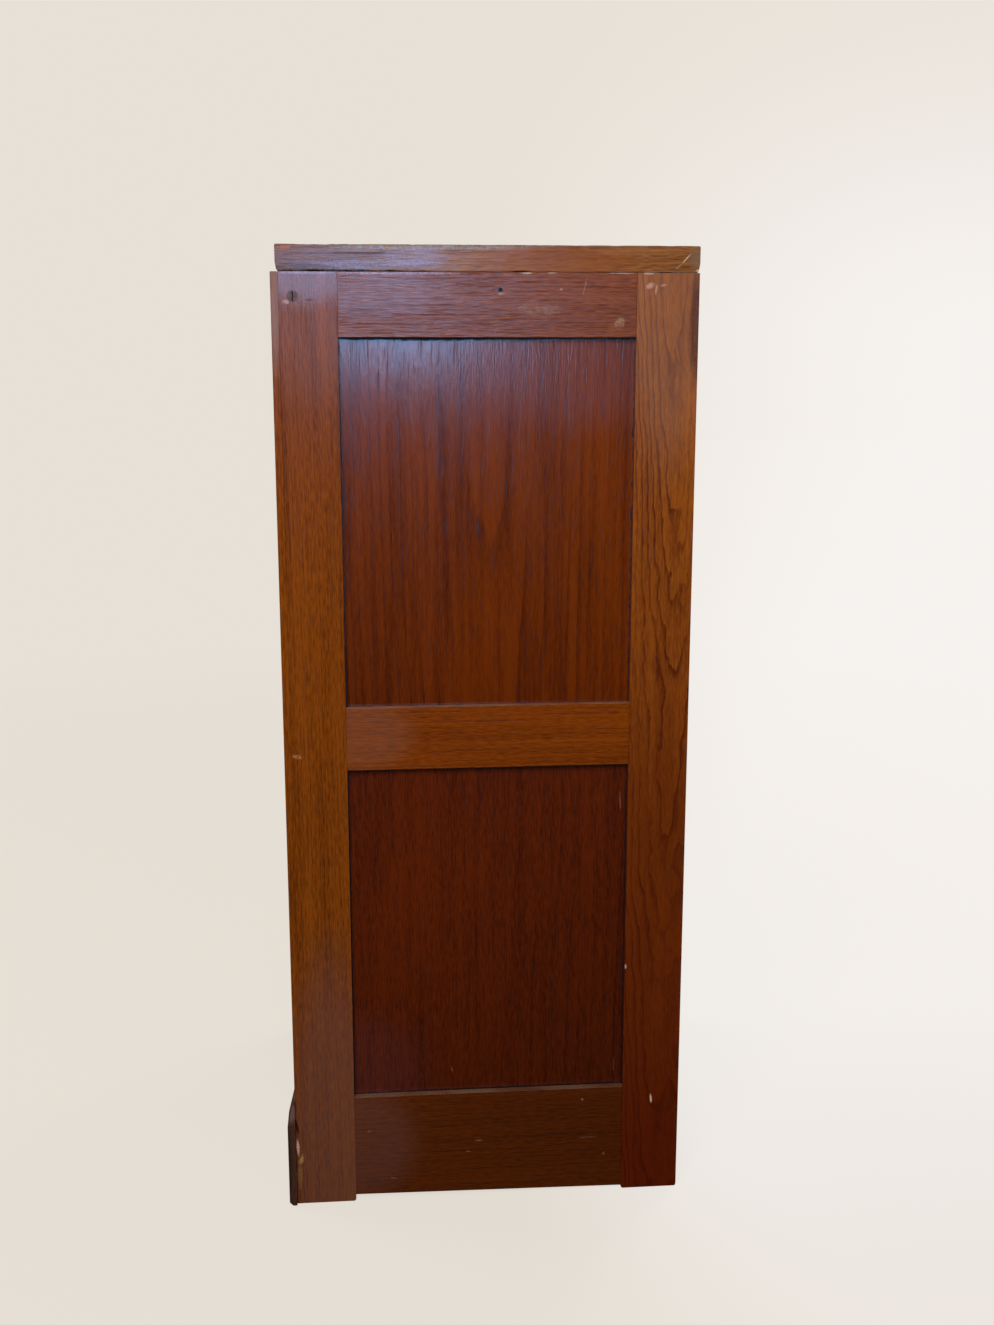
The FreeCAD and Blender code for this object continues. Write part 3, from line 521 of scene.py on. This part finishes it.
SIDE_FACE = 0.2275
FRAME_EASE = 0.0007
STILE_FOOT = 0.0028
RAIL_FOOT = 0.03
SKEW = 0.013
SKEW_START = -0.01
STILE_TONES = ((131, 64, 9), (90, 38, 2), (60, 23, 2))
# A pale haze at the front foot: scuffing, and painted sheen of a faint low reflection.
FOOT_SCUFF_AND_SHEEN = ((124, 84, 74), (SIDE_FACE, -0.17, 0.08), (0.02, 0.06, 0.28), 0, 0.28, 0.0)
STILE_MARKS = (
    FOOT_SCUFF_AND_SHEEN,
    # The next two are painted sheen of the window at the stile's top, pale bluish and fading down.
    ((140, 140, 172), (SIDE_FACE, -0.178, 1.028), (0.02, 0.07, 0.05), 0, 0.45, 0.2),
    ((130, 112, 122), (SIDE_FACE, -0.17, 0.985), (0.02, 0.07, 0.12), 0, 0.1, 0.0),
    ((20, 10, 8), (SIDE_FACE, -0.1902, 0.996), (0.002, 0.0072, 0.0072), 0, 0.8, 0.2),
    ((196, 160, 150), (SIDE_FACE, -0.1972, 0.9905), (0.002, 0.0048, 0.0026), 0, 0.6, 0.7),
    ((58, 30, 22), (SIDE_FACE, -0.1735, 0.9925), (0.002, 0.006, 0.0014), 0, 0.7, 0.5),
    # A painted highlight along the stile's rounded top edge.
    ((170, 170, 206), (SIDE_FACE, -0.178, 1.0188), (0.004, 0.034, 0.0018), 0, 0.55, 0.5),
    ((176, 120, 80), (SIDE_FACE, -0.198, 0.522), (0.004, 0.007, 0.0028), -14, 0.7, 0.6),
)
BACK_STILE_MARKS = (
    # Painted shade: the lower back stile is darker and redder.
    ((88, 29, 4), (SIDE_FACE, 0.19, 0.2), (0.03, 0.1, 0.46), 0, 0.45, 0.0),
    # Painted sheen: the back stile's top is paler.
    ((168, 128, 104), (SIDE_FACE, 0.19, 0.99), (0.03, 0.06, 0.21), 0, 0.2, 0.0),
    ((66, 40, 34), (SIDE_FACE, 0.219, 0.965), (0.01, 0.011, 0.07), 0, 0.75, 0.15),
    ((204, 158, 136), (SIDE_FACE, 0.1695, 1.0072), (0.002, 0.006, 0.0034), 24, 0.6, 0.25),
    ((204, 158, 136), (SIDE_FACE, 0.1758, 1.0035), (0.002, 0.0016, 0.0062), -8, 0.55, 0.25),
    ((196, 150, 130), (SIDE_FACE, 0.1835, 1.0078), (0.002, 0.0044, 0.0016), 12, 0.5, 0.2),
    ((206, 178, 160), (SIDE_FACE, 0.168, 1.0192), (0.003, 0.007, 0.0011), 0, 0.6, 0.4),
    ((214, 176, 150), (SIDE_FACE, 0.1893, 0.1108), (0.002, 0.0016, 0.0068), 5, 0.9, 0.15),
    ((206, 178, 156), (SIDE_FACE, 0.1575, 0.272), (0.003, 0.0014, 0.0036), 0, 0.8, 0.3),
)
RAIL_MARKS = (
    ((190, 152, 120), (SIDE_FACE, 0.1389, 0.9705), (0.002, 0.0078, 0.0068), 30, 0.4, 0.65),
    ((188, 142, 122), (SIDE_FACE, 0.103, 1.0065), (0.002, 0.0006, 0.0115), -14, 0.55, 0.5),
    ((196, 158, 126), (SIDE_FACE, 0.0178, 0.9992), (0.002, 0.0034, 0.0024), 0, 0.5, 0.4),
    ((186, 150, 130), (SIDE_FACE, 0.079, 1.0035), (0.002, 0.002, 0.0016), 0, 0.6, 0.5),
    ((170, 130, 112), (SIDE_FACE, 0.055, 0.984), (0.003, 0.03, 0.008), 0, 0.3, 0.7),
    ((206, 180, 162), (SIDE_FACE, 0.044, 1.0192), (0.003, 0.008, 0.0012), 0, 0.65, 0.4),
    ((206, 180, 162), (SIDE_FACE, 0.07, 1.0194), (0.003, 0.006, 0.001), 0, 0.6, 0.4),
    ((196, 170, 156), (SIDE_FACE, 0.14, 1.0194), (0.003, 0.018, 0.0009), 0, 0.5, 0.5),
    # A painted highlight along the rail's rounded top edge, and below it a faint painted sheen of the
    # window.
    ((176, 172, 208), (SIDE_FACE, -0.085, 1.0188), (0.004, 0.075, 0.0018), 0, 0.55, 0.5),
    ((150, 146, 182), (SIDE_FACE, -0.11, 1.002), (0.004, 0.09, 0.034), 0, 0.14, 0.0),
    # Painted shade inside the nail hole.
    ((16, 8, 6), (SIDE_FACE - 0.0055, 0.0173, 1.0026), (0.0055, 0.005, 0.005), 0, 1.0, 0.0),
)
BOTTOM_RAIL_MARKS = (
    ((156, 108, 74), (SIDE_FACE, -0.0074, 0.068), (0.003, 0.0062, 0.0011), 0, 0.5, 0.4),
    ((156, 108, 74), (SIDE_FACE, -0.019, 0.055), (0.003, 0.003, 0.0012), 0, 0.4, 0.4),
    ((170, 124, 88), (SIDE_FACE, 0.1107, 0.113), (0.003, 0.0018, 0.002), 0, 0.55, 0.3),
    ((150, 108, 92), (SIDE_FACE, -0.13, 0.085), (0.003, 0.0034, 0.0014), 20, 0.45, 0.4),
    ((150, 108, 92), (SIDE_FACE, -0.1036, 0.026), (0.003, 0.0046, 0.0012), -10, 0.45, 0.4),
    ((140, 96, 66), (SIDE_FACE, 0.117, 0.066), (0.003, 0.011, 0.0009), 0, 0.45, 0.5),
    ((150, 104, 72), (SIDE_FACE, 0.136, 0.045), (0.003, 0.0022, 0.0024), 0, 0.45, 0.5),
)
PANEL_FACE = 0.2185
LOWER_PANEL_MARKS = (
    ((150, 108, 92), (PANEL_FACE, 0.1495, 0.463), (0.004, 0.0011, 0.014), 4, 0.4, 0.5),
    ((138, 94, 78), (PANEL_FACE, -0.036, 0.152), (0.004, 0.0012, 0.005), 12, 0.45, 0.4),
    ((132, 88, 72), (PANEL_FACE, 0.1475, 0.15), (0.004, 0.001, 0.009), 0, 0.4, 0.5),
)
NAIL_HOLE = ((SIDE_FACE, 0.0173, 1.0026), 0.0023, 0.006)
SIDES = {"right": 1, "left": -1}
for side, out in SIDES.items():
    face = out * SIDE_FACE
    seen_side = side == "right"
    boards = {
        "front_stile": dict(
            tones=STILE_TONES, grain="up", pith=(face - out * 0.05, 0.38, 0.7), lean=(0.4, 0.0),
            ring_gap=0.0042, ring_depth=0.32, waver=0.008, gloss=0.18,
            marks=STILE_MARKS if seen_side else (),
        ),
        "back_stile": dict(
            tones=((150, 79, 18), (92, 36, 5), (66, 24, 6)), grain="up",
            pith=(face - out * 0.032, 0.2, 0.75), lean=(0.6, out * 2.4), ring_gap=0.0046, ring_depth=0.8,
            waver=0.024, ragged=1.8, streak=0.8, fleck=1.2, cloud=0.5, gloss=0.22,
            # The back stile darkens towards its foot as painted shade.
            painted_shading=((0.46, 0.16, 0.1, 1.0), 0.06, 0.8, 0.0), marks=BACK_STILE_MARKS if seen_side else (),
        ),
        "top_rail": dict(
            tones=((133, 70, 36), (93, 43, 22), (64, 28, 16)), grain="back",
            pith=(face - out * 0.03, 0.4, 1.5), ring_gap=0.0046, ring_depth=0.3, pore_depth=0.7,
            streak=0.8, fleck=2.6, gloss=0.38, relief=0.0005, marks=RAIL_MARKS if seen_side else (),
        ),
        "mid_rail": dict(
            tones=((129, 58, 5), (92, 35, 1), (60, 21, 1)), grain="back",
            pith=(face - out * 0.04, 1.3, 0.1), ring_gap=0.0055, ring_depth=0.4, gloss=0.2, dust=0.6,
            # Painted sheen: a faint pale haze of a low reflection at the front.
            marks=(((146, 108, 90), (face, -0.13, 0.545), (0.02, 0.07, 0.05), 0, 0.14, 0.0),),
        ),
        "bottom_rail": dict(
            tones=((108, 46, 6), (76, 28, 2), (50, 18, 2)), grain="back",
            pith=(face - out * 0.04, 2.2, 0.6), ring_gap=0.006, ring_depth=0.3, streak=0.8, dust=0.6,
            # Painted sheen: a faint pale haze of a low reflection at the front.
            marks=(((120, 84, 76), (face, -0.14, 0.07), (0.02, 0.08, 0.09), 0, 0.18, 0.0),
                   *(BOTTOM_RAIL_MARKS if seen_side else ())),
        ),
        "upper_panel": dict(
            tones=((116, 49, 6), (75, 25, 2), (44, 13, 1)), grain="up",
            pith=(face - out * 0.16, 0.005, 0.2), lean=(0.0, out * 1.1), ring_gap=0.0062,
            ring_depth=0.42, waver=0.009, streak=1.7, fleck=1.2, polish=0.152, gloss=0.58,
            # The upper panel darkens towards its lower part as painted shade.
            relief=0.00015, painted_shading=((0.8, 0.7, 0.4, 1.0), 0.56, 0.8, 0.0),
            # Painted shade along the upper panel's edges.
            corners=((0.0, -0.1474, 0.571), (0.0, 0.1577, 0.956), 0.0035),
            # Painted sheen: a faint haze of the window's reflection at the panel's upper right.
            marks=(((128, 104, 122), (face, 0.1, 0.93), (0.03, 0.12, 0.09), 0, 0.12, 0.0),),
        ),
        "lower_panel": dict(
            tones=((96, 32, 2), (64, 18, 1), (36, 10, 1)), grain="up", pith=(face - out * 0.2, -0.02, 3.2),
            lean=(0.0, out * 0.9), ring_gap=0.007, ring_depth=0.3, waver=0.009, streak=1.1, polish=0.24,
            # Painted shade along the lower panel's edges.
            relief=0.0003, corners=((0.0, -0.146, 0.127), (0.0, 0.1565, 0.5055), 0.0022),
            # Painted sheen: a faint pale haze of a low reflection at the front.
            marks=(((110, 74, 82), (face, -0.14, 0.15), (0.03, 0.1, 0.1), 0, 0.07, 0.0),
                   *(LOWER_PANEL_MARKS if seen_side else ())),
        ),
    }
    for label, wood in boards.items():
        node = f"{side}_{label}"
        slot = "panel_wood" if "panel" in label else "rail_wood" if "rail" in label else "stile_wood"
        finish = lacquered_oak(f"{node}_lacquer", **wood)
        board = planed(node, FRAME_EASE, foot=STILE_FOOT if "stile" in label else 0.0)
        if label == "bottom_rail":
            for vert in board.vertices:
                vert.co.z -= SKEW * (vert.co.y - SKEW_START) if vert.co.z < RAIL_FOOT else 0.0
        if node == "right_top_rail":
            board = bored(board, *NAIL_HOLE)
        fitted(f"{node}_oak", board, finish, "carcass", slot, node)


# Lippings: thin strips of the same oak, glued to the front edges of the side frames so that they also
# cover the guide strips behind them. Hands and knees have rubbed their corners.
LIPPING_EASE = 0.0006
LIPPING_MARKS = (
    FOOT_SCUFF_AND_SHEEN,
    # Painted sheen at the lipping's top.
    ((138, 112, 108), (SIDE_FACE, -0.208, 1.0), (0.01, 0.007, 0.1), 0, 0.55, 0.1),
    ((40, 6, 2), (SIDE_FACE, -0.2104, 0.095), (0.004, 0.0018, 0.013), 8, 0.9, 0.1),
    ((214, 164, 136), (SIDE_FACE, -0.2098, 0.069), (0.004, 0.0022, 0.012), 4, 0.95, 0.3),
    ((168, 120, 66), (SIDE_FACE, -0.2052, 0.055), (0.004, 0.004, 0.0095), -25, 0.9, 0.3),
    ((130, 92, 50), (SIDE_FACE, -0.2082, 0.033), (0.004, 0.0034, 0.019), 0, 0.75, 0.4),
)
for side, out in SIDES.items():
    node = f"{side}_lipping"
    finish = lacquered_oak(
        f"{node}_lacquer", STILE_TONES, "up", (out * 0.3, 0.2, 4.1), ring_gap=0.004, ring_depth=0.35,
        gloss=0.14, rub=0.14, marks=LIPPING_MARKS if side == "right" else (),
    )
    fitted(f"{node}_oak", planed(node, LIPPING_EASE), finish, "carcass", "stile_wood", node)


# Top board: one thick oak board, its grain running from front to back, bevelled under its front and
# back edges and set on dowels. Its arrises are worn uneven and grey, and its end has a pale scratch.
TOP_EASE = 0.0014
TOP_CUTS = 90
TOP_WEAR = 0.0026
TOP_MARKS = (
    # The next two are painted sheen of the window on the left of the top's end.
    ((88, 90, 122), (SIDE_FACE, -0.16, 1.033), (0.01, 0.095, 0.02), 0, 0.45, 0.3),
    ((128, 126, 160), (SIDE_FACE, -0.13, 1.0265), (0.006, 0.07, 0.006), 0, 0.5, 0.5),
    ((138, 128, 124), (SIDE_FACE, -0.05, 1.0445), (0.004, 0.14, 0.0042), 0, 0.75, 0.6),
    # The next two are painted highlights and sheen of the window.
    ((124, 130, 176), (SIDE_FACE, -0.066, 1.0285), (0.004, 0.026, 0.0036), 0, 0.6, 0.7),
    ((134, 126, 160), (SIDE_FACE, -0.068, 1.033), (0.004, 0.044, 0.014), 0, 0.46, 0.3),
    ((130, 62, 0), (SIDE_FACE, 0.075, 1.03), (0.004, 0.1, 0.02), 0, 0.55, 0.0),
    ((172, 112, 58), (SIDE_FACE, 0.165, 1.0405), (0.004, 0.07, 0.005), 0, 0.34, 0.2),
    ((60, 52, 62), (SIDE_FACE, -0.185, 1.0245), (0.004, 0.04, 0.005), 0, 0.5, 0.3),
    ((60, 44, 44), (SIDE_FACE, -0.12, 1.0375), (0.004, 0.05, 0.0012), 0, 0.7, 0.5),
    # Painted shade in the seam under the top's left end.
    ((24, 14, 12), (SIDE_FACE, -0.15, 1.0206), (0.006, 0.09, 0.0026), 0, 0.9, 0.45),
    ((190, 104, 60), (SIDE_FACE, -0.197, 1.0432), (0.006, 0.008, 0.0022), 6, 0.6, 0.4),
    ((120, 100, 84), (SIDE_FACE, 0.219, 1.0345), (0.004, 0.014, 0.014), 0, 0.5, 0.2),
    ((224, 192, 158), (SIDE_FACE, 0.2065, 1.0342), (0.003, 0.0009, 0.0085), -43, 0.65, 0.35),
    ((214, 186, 160), (SIDE_FACE, 0.1985, 1.0262), (0.003, 0.0008, 0.005), -52, 0.4, 0.4),
    ((206, 186, 172), (SIDE_FACE, 0.2185, 1.0222), (0.004, 0.0032, 0.0016), 0, 0.85, 0.3),
)
finish = lacquered_oak(
    "top_board_lacquer", ((142, 87, 36), (102, 55, 18), (70, 36, 14)), "back", (0.12, 3.0, 1.16),
    ring_gap=0.005, ring_depth=0.45, fleck=2.8, gloss=0.3, rub=0.36, bare=(124, 102, 86), dust=0.16,
    relief=0.0004, marks=TOP_MARKS,
)
slab = planed("top_board", TOP_EASE, shortest=0.2, segments=3, cuts=TOP_CUTS, wear=TOP_WEAR)
fitted("top_board_oak", slab, finish, "carcass", "top_wood", "top_board")


# Plinth: a dark-stained block glued on the foot of each lipping, its top bevelled and rubbed pale, its
# toe rounded by feet and brooms, and between the stiles a plain board set back under the sill.
PLINTH_EASE = 0.0011
for side, out in SIDES.items():
    node = f"{side}_plinth_block"
    finish = lacquered_oak(
        f"{node}_stain", ((96, 58, 42), (64, 36, 26), (40, 22, 16)), "up", (out * 0.29, -0.1, -0.3),
        ring_gap=0.006, ring_depth=0.4, rub=0.24, bare=(150, 108, 78), dust=0.4,
        marks=(
            ((126, 98, 88), (out * 0.21, -0.217, 0.1125), (0.05, 0.012, 0.0165), 0, 0.7, 0.2),
            # Painted shade on the block's rounded front edge.
            ((34, 28, 22), (out * 0.2315, -0.2205, 0.05), (0.0055, 0.0046, 0.075), 0, 0.85, 0.2),
        ),
    )
    fitted(f"{node}_oak", planed(node, PLINTH_EASE, segments=3), finish, "carcass", "plinth_wood", node)
finish = lacquered_oak(
    "plinth_board_stain", ((84, 50, 38), (54, 30, 22), (34, 20, 16)), "across", (0.0, 0.1, -0.3),
    ring_gap=0.006, ring_depth=0.4, dust=0.4,
)
board = planed("plinth_board", FRAME_EASE)
fitted("plinth_board_oak", board, finish, "carcass", "plinth_wood", "plinth_board")


# Front rails: the head rail that hides the raised shutter and the sill that the closed shutter stands
# on, both of the same lacquered oak, planed square and lightly eased.
for node, wood in {
    "head_rail": dict(tones=((130, 66, 30), (92, 40, 16), (62, 24, 10)), pith=(0.0, -0.1, 0.5)),
    "front_sill": dict(tones=((118, 56, 22), (82, 34, 10), (54, 20, 8)), pith=(0.9, -0.1, 0.6)),
}.items():
    finish = lacquered_oak(f"{node}_lacquer", grain="across", ring_depth=0.4, gloss=0.25, **wood)
    fitted(f"{node}_oak", planed(node, FRAME_EASE), finish, "carcass", "rail_wood", node)


# Screws: two slotted steel screws through the front stiles into the head rail, and two small ones that
# hold the pull from behind. Old lacquer and rust have browned them, and dirt has filled their slots.
STEEL, RUST, SLOT_DIRT = (130, 98, 92), (84, 56, 50), (26, 16, 12)
SLOT_DEEP, SLOT_RIM = SIDE_FACE - 0.0007, SIDE_FACE - 0.0002
browned = bare_material("browned_steel")
tree = browned.node_tree
place = wire(tree, "TexCoord").outputs["Object"]
crust = mottle(tree, place, along=1.0, scale=900.0, detail=4.0)["Fac"]
colour = mixed(tree, ramped(tree, crust, 0.35, 0.65), tint(*STEEL), tint(*RUST))
deep = reckon(tree, "ABSOLUTE", wire(tree, "SeparateXYZ", {0: place}).outputs["X"])
colour = mixed(tree, ramped(tree, deep, SLOT_DEEP, SLOT_RIM, 1.0, 0.0), colour, tint(*SLOT_DIRT))
metal = ramped(tree, crust, 0.4, 0.7, 0.4, 0.1)
rough = ramped(tree, crust, 0.35, 0.65, 0.42, 0.7)
bump = wire(tree, "Bump", {"Strength": 0.5, "Distance": 0.0001, "Height": crust}).outputs[0]
skin = wire(tree, "BsdfPrincipled", {"Base Color": colour, "Metallic": metal, "Roughness": rough,
                                     "Normal": bump})
wire(tree, "OutputMaterial", {"Surface": skin.outputs[0]})
for node in ("head_rail_screws", "pull_screws"):
    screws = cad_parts[node].data
    screws.materials.clear()
    screws.materials.append(browned)


# Back: three rails tenoned between the back stiles, with two thin panels in their grooves. It is oak
# too, stained but hardly lacquered, because it stood against a wall.
for node, wood in {
    "back_top_rail": dict(tones=((112, 62, 34), (82, 42, 22), (56, 28, 16)), grain="across",
                          pith=(0.2, 0.1, 0.6)),
    "back_mid_rail": dict(tones=((108, 58, 32), (78, 40, 20), (54, 26, 14)), grain="across",
                          pith=(1.2, 0.1, 0.1)),
    "back_bottom_rail": dict(tones=((98, 52, 30), (70, 36, 20), (48, 24, 14)), grain="across",
                             pith=(2.2, 0.1, -0.4)),
    "back_upper_panel": dict(tones=((126, 76, 46), (92, 52, 30), (62, 34, 20)), grain="up",
                             pith=(0.03, 0.06, 0.0), lean=(1.0, 0.0), ring_gap=0.0065, waver=0.02),
    "back_lower_panel": dict(tones=((120, 70, 42), (86, 48, 28), (58, 32, 18)), grain="up",
                             pith=(-0.04, 0.07, 1.4), lean=(0.8, 0.0), ring_gap=0.0065, waver=0.02),
}.items():
    finish = lacquered_oak(f"{node}_stain", polish=0.55, **wood)
    slot = "panel_wood" if "panel" in node else "rail_wood"
    fitted(f"{node}_oak", planed(node, FRAME_EASE), finish, "carcass", slot, node)


# Inner case: bottom board, linings with rounded corners, guide strips, cove blocks, soffit, false back,
# shelves, cleats and dowels. They are of bare pale wood, glued and pinned, and waxed brown only where
# the shutter runs.
INNER_TONES = ((184, 142, 96), (150, 106, 64), (118, 78, 46))
GUIDE_TONES = ((150, 96, 54), (112, 66, 34), (84, 48, 26))
INNER_BARE = (206, 170, 126)
for number, (node, grain) in enumerate({
    "bottom_board": "across", "floor_cleats": "back", "right_lining_board": "up", "left_lining_board": "up",
    "right_guide_strip": "up", "left_guide_strip": "up", "front_bend_blocks": "back",
    "back_bend_blocks": "back", "soffit": "across", "false_back": "up", "shelf_1": "across",
    "shelf_2": "across", "shelf_3": "across", "shelf_cleats": "back", "top_dowels": "up",
}.items()):
    tones = GUIDE_TONES if "guide" in node or "bend" in node else INNER_TONES
    finish = lacquered_oak(
        f"{node}_wood", tones, grain, (0.11 * number, -0.3, 0.35 + number), ring_gap=0.0045,
        ring_depth=0.45, pore_depth=0.25, polish=0.58, rub=0.1, bare=INNER_BARE, dust=0.2,
    )
    fitted(f"{node}_dressed", planed(node, FRAME_EASE), finish, "carcass", "inner_wood", node)


# Shutter slats: narrow oak slats with rounded edges, glued side by side to canvas. Each strip of three
# moves by itself, and one node tree lays out all of them from the same sizes. Each strip lies a hair in
# front of the one below it, so that raised strips never lie in one plane.
SLAT_COUNT = 3
STRIP_COUNT = 13
SLAT_THICK = 0.0075
SLAT_GAP = 0.0006
SLAT_ROUND = 0.0022
SLAT_STEP = 0.00003
SLAT_TONES = ((136, 66, 22), (94, 40, 12), (62, 24, 8))
slat_finish = lacquered_oak(
    "slat_lacquer", SLAT_TONES, "across", (0.0, -0.02, 0.3), lean=(0.0, 0.3), ring_gap=0.0036,
    ring_depth=0.4, streak=1.6, polish=0.28, gloss=0.3, dust=0.12, uneven=0.75,
)
layout = bpy.data.node_groups.new("slats_side_by_side", "GeometryNodeTree")
for label, kind in (
    ("Geometry", "Geometry"), ("Slats", "Int"), ("Pitch", "Float"), ("Length", "Float"), ("Gap", "Float"),
    ("Thickness", "Float"), ("Rounding", "Float"), ("Middle", "Float"), ("Foot", "Float"), ("Seed", "Int"),
    ("Finish", "Material"),
):
    layout.interface.new_socket(name=label, in_out="INPUT", socket_type="NodeSocket" + kind)
layout.interface.new_socket(name="Geometry", in_out="OUTPUT", socket_type="NodeSocketGeometry")


def lay(kind, feeds=None, family="GeometryNode", **settings):
    """Adds a node to the slats' tree and gives its outputs."""
    return wire(layout, kind, feeds, family, **settings).outputs


ROUNDING_STEPS = 4
wanted = layout.nodes.new("NodeGroupInput").outputs
slat_height = reckon(layout, "SUBTRACT", wanted["Pitch"], wanted["Gap"])
outline = lay("CurvePrimitiveQuadrilateral", {"Width": wanted["Thickness"], "Height": slat_height})[0]
rounding = {"Curve": outline, "Count": ROUNDING_STEPS, "Radius": wanted["Rounding"]}
outline = lay("FilletCurve", rounding, mode="POLY")[0]
half_length = reckon(layout, "DIVIDE", wanted["Length"], 2.0)
left_end = lay("CombineXYZ", {"X": reckon(layout, "MULTIPLY", half_length, -1.0)}, "ShaderNode")[0]
right_end = lay("CombineXYZ", {"X": half_length}, "ShaderNode")[0]
run = lay("CurvePrimitiveLine", {"Start": left_end, "End": right_end})[0]
slat = lay("CurveToMesh", {"Curve": run, "Profile Curve": outline, "Fill Caps": True})[0]
lowest = reckon(layout, "MULTIPLY_ADD", wanted["Pitch"], 0.5, wanted["Foot"])
base = lay("CombineXYZ", {"Y": wanted["Middle"], "Z": lowest}, "ShaderNode")[0]
upwards = lay("CombineXYZ", {"Z": wanted["Pitch"]}, "ShaderNode")[0]
places = lay("MeshLine", {"Count": wanted["Slats"], "Start Location": base, "Offset": upwards})[0]
laid = lay("InstanceOnPoints", {"Points": places, "Instance": slat})[0]
tone = lay("RandomValue", {"Seed": wanted["Seed"]}, "FunctionNode", data_type="FLOAT")[1]
laid = lay("StoreNamedAttribute", {"Geometry": laid, "Name": "stick", "Value": tone},
           domain="INSTANCE", data_type="FLOAT")[0]
laid = lay("RealizeInstances", {"Geometry": laid})[0]
laid = lay("SetMaterial", {"Geometry": laid, "Material": wanted["Finish"]})[0]
layout.links.new(laid, layout.nodes.new("NodeGroupOutput").inputs[0])
sockets = {item.name: item.identifier for item in layout.interface.items_tree if item.in_out == "INPUT"}


def laid_out(name, values):
    """The tree's result for these values, as a plain mesh."""
    blank = bpy.data.objects.new(f"{name}_layout", bpy.data.meshes.new(f"{name}_layout"))
    scene.collection.objects.link(blank)
    modifier = blank.modifiers.new("layout", "NODES")
    modifier.node_group = layout
    for label, value in values.items():
        modifier[sockets[label]] = value
    evaluated = blank.evaluated_get(bpy.context.evaluated_depsgraph_get())
    mesh = bpy.data.meshes.new_from_object(evaluated)
    blank.modifiers.remove(modifier)
    bpy.data.objects.remove(blank)
    return mesh


for number in range(1, STRIP_COUNT + 1):
    node = f"shutter_strip_{number:02d}"
    low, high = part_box(node)
    pitch = (high.z - low.z + SLAT_GAP) / SLAT_COUNT
    middle = (low.y + high.y) / 2 - number * SLAT_STEP
    mesh = laid_out(node, {
        "Slats": SLAT_COUNT, "Pitch": pitch, "Length": high.x - low.x, "Gap": SLAT_GAP,
        "Thickness": SLAT_THICK, "Rounding": SLAT_ROUND, "Middle": middle,
        "Foot": low.z - SLAT_GAP / 2, "Seed": number, "Finish": slat_finish,
    })
    fitted(f"{node}_slats", mesh, slat_finish, node, "shutter_wood", node)


# Lift rail and pull: the thicker bar at the shutter's foot and the wooden pull screwed to it, both of
# lacquered oak. The pull is undercut for the fingers, which have rubbed its edges bright.
for node, wood in {
    "lift_rail": dict(tones=((134, 66, 24), (94, 40, 12), (62, 24, 8)), pith=(0.0, -0.1, -0.3), rub=0.24),
    "lift_pull": dict(tones=((126, 58, 20), (86, 34, 8), (56, 20, 6)), pith=(1.0, -0.1, -0.2), rub=0.34),
}.items():
    finish = lacquered_oak(f"{node}_lacquer", grain="across", ring_depth=0.4, gloss=0.25, **wood)
    fitted(f"{node}_oak", planed(node, FRAME_EASE), finish, "lift", "shutter_wood", node)


# Canvas: one piece of plain woven cotton, glued over the backs of all the slats, which makes them a
# flexible sheet. It dips a little at each joint between slats.
CANVAS_ROWS = 156
CANVAS_COLUMNS = 24
CANVAS_THICK = 0.0005
CANVAS_DIP = 0.00012
THREAD = 0.0011
WEAVE_DARK, WEAVE_LIGHT, SLUB = (150, 128, 92), (186, 166, 128), (128, 102, 70)
low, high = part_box("shutter_canvas")
front = low.y + CANVAS_DIP
shape = bmesh.new()
grid = []
for row in range(CANVAS_ROWS + 1):
    z = low.z + (high.z - low.z) * row / CANVAS_ROWS
    dip = CANVAS_DIP * math.cos(2 * math.pi * row * SLAT_COUNT * STRIP_COUNT / CANVAS_ROWS)
    grid.append([
        shape.verts.new((low.x + (high.x - low.x) * column / CANVAS_COLUMNS, front - dip, z))
        for column in range(CANVAS_COLUMNS + 1)
    ])
for lower, upper in zip(grid, grid[1:]):
    for column in range(CANVAS_COLUMNS):
        shape.faces.new((lower[column], lower[column + 1], upper[column + 1], upper[column]))
blank = bpy.data.meshes.new("canvas_blank")
shape.to_mesh(blank)
shape.free()
cloth = bpy.data.objects.new("canvas_blank", blank)
scene.collection.objects.link(cloth)
wall = cloth.modifiers.new("wall", "SOLIDIFY")
wall.thickness = CANVAS_THICK
wall.offset = -1.0
mesh = bpy.data.meshes.new_from_object(cloth.evaluated_get(bpy.context.evaluated_depsgraph_get()))
bpy.data.objects.remove(cloth)
woven = bare_material("canvas_weave")
tree = woven.node_tree
place = wire(tree, "TexCoord").outputs["Object"]
spread = wire(tree, "SeparateXYZ", {0: place}).outputs
turns = 2 * math.pi / THREAD
warp = reckon(tree, "SINE", reckon(tree, "MULTIPLY", spread["X"], turns))
weft = reckon(tree, "SINE", reckon(tree, "MULTIPLY", spread["Z"], turns))
weave = reckon(tree, "MULTIPLY_ADD", reckon(tree, "MULTIPLY", warp, weft), 0.5, 0.5)
slub = mottle(tree, place, along=0.2, scale=160.0, detail=3.0)["Fac"]
colour = mixed(tree, weave, tint(*WEAVE_DARK), tint(*WEAVE_LIGHT))
colour = mixed(tree, ramped(tree, slub, 0.45, 0.75, 0.0, 0.5), colour, tint(*SLUB))
bump = wire(tree, "Bump", {"Strength": 0.7, "Distance": 0.0003, "Height": weave}).outputs[0]
rough = ramped(tree, weave, 0.0, 1.0, 0.95, 0.82)
skin = wire(tree, "BsdfPrincipled", {"Base Color": colour, "Roughness": rough, "Normal": bump})
wire(tree, "OutputMaterial", {"Surface": skin.outputs[0]})
canvas = fitted("shutter_canvas_cloth", mesh, woven, "carcass", "canvas", "shutter_canvas")
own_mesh(canvas)
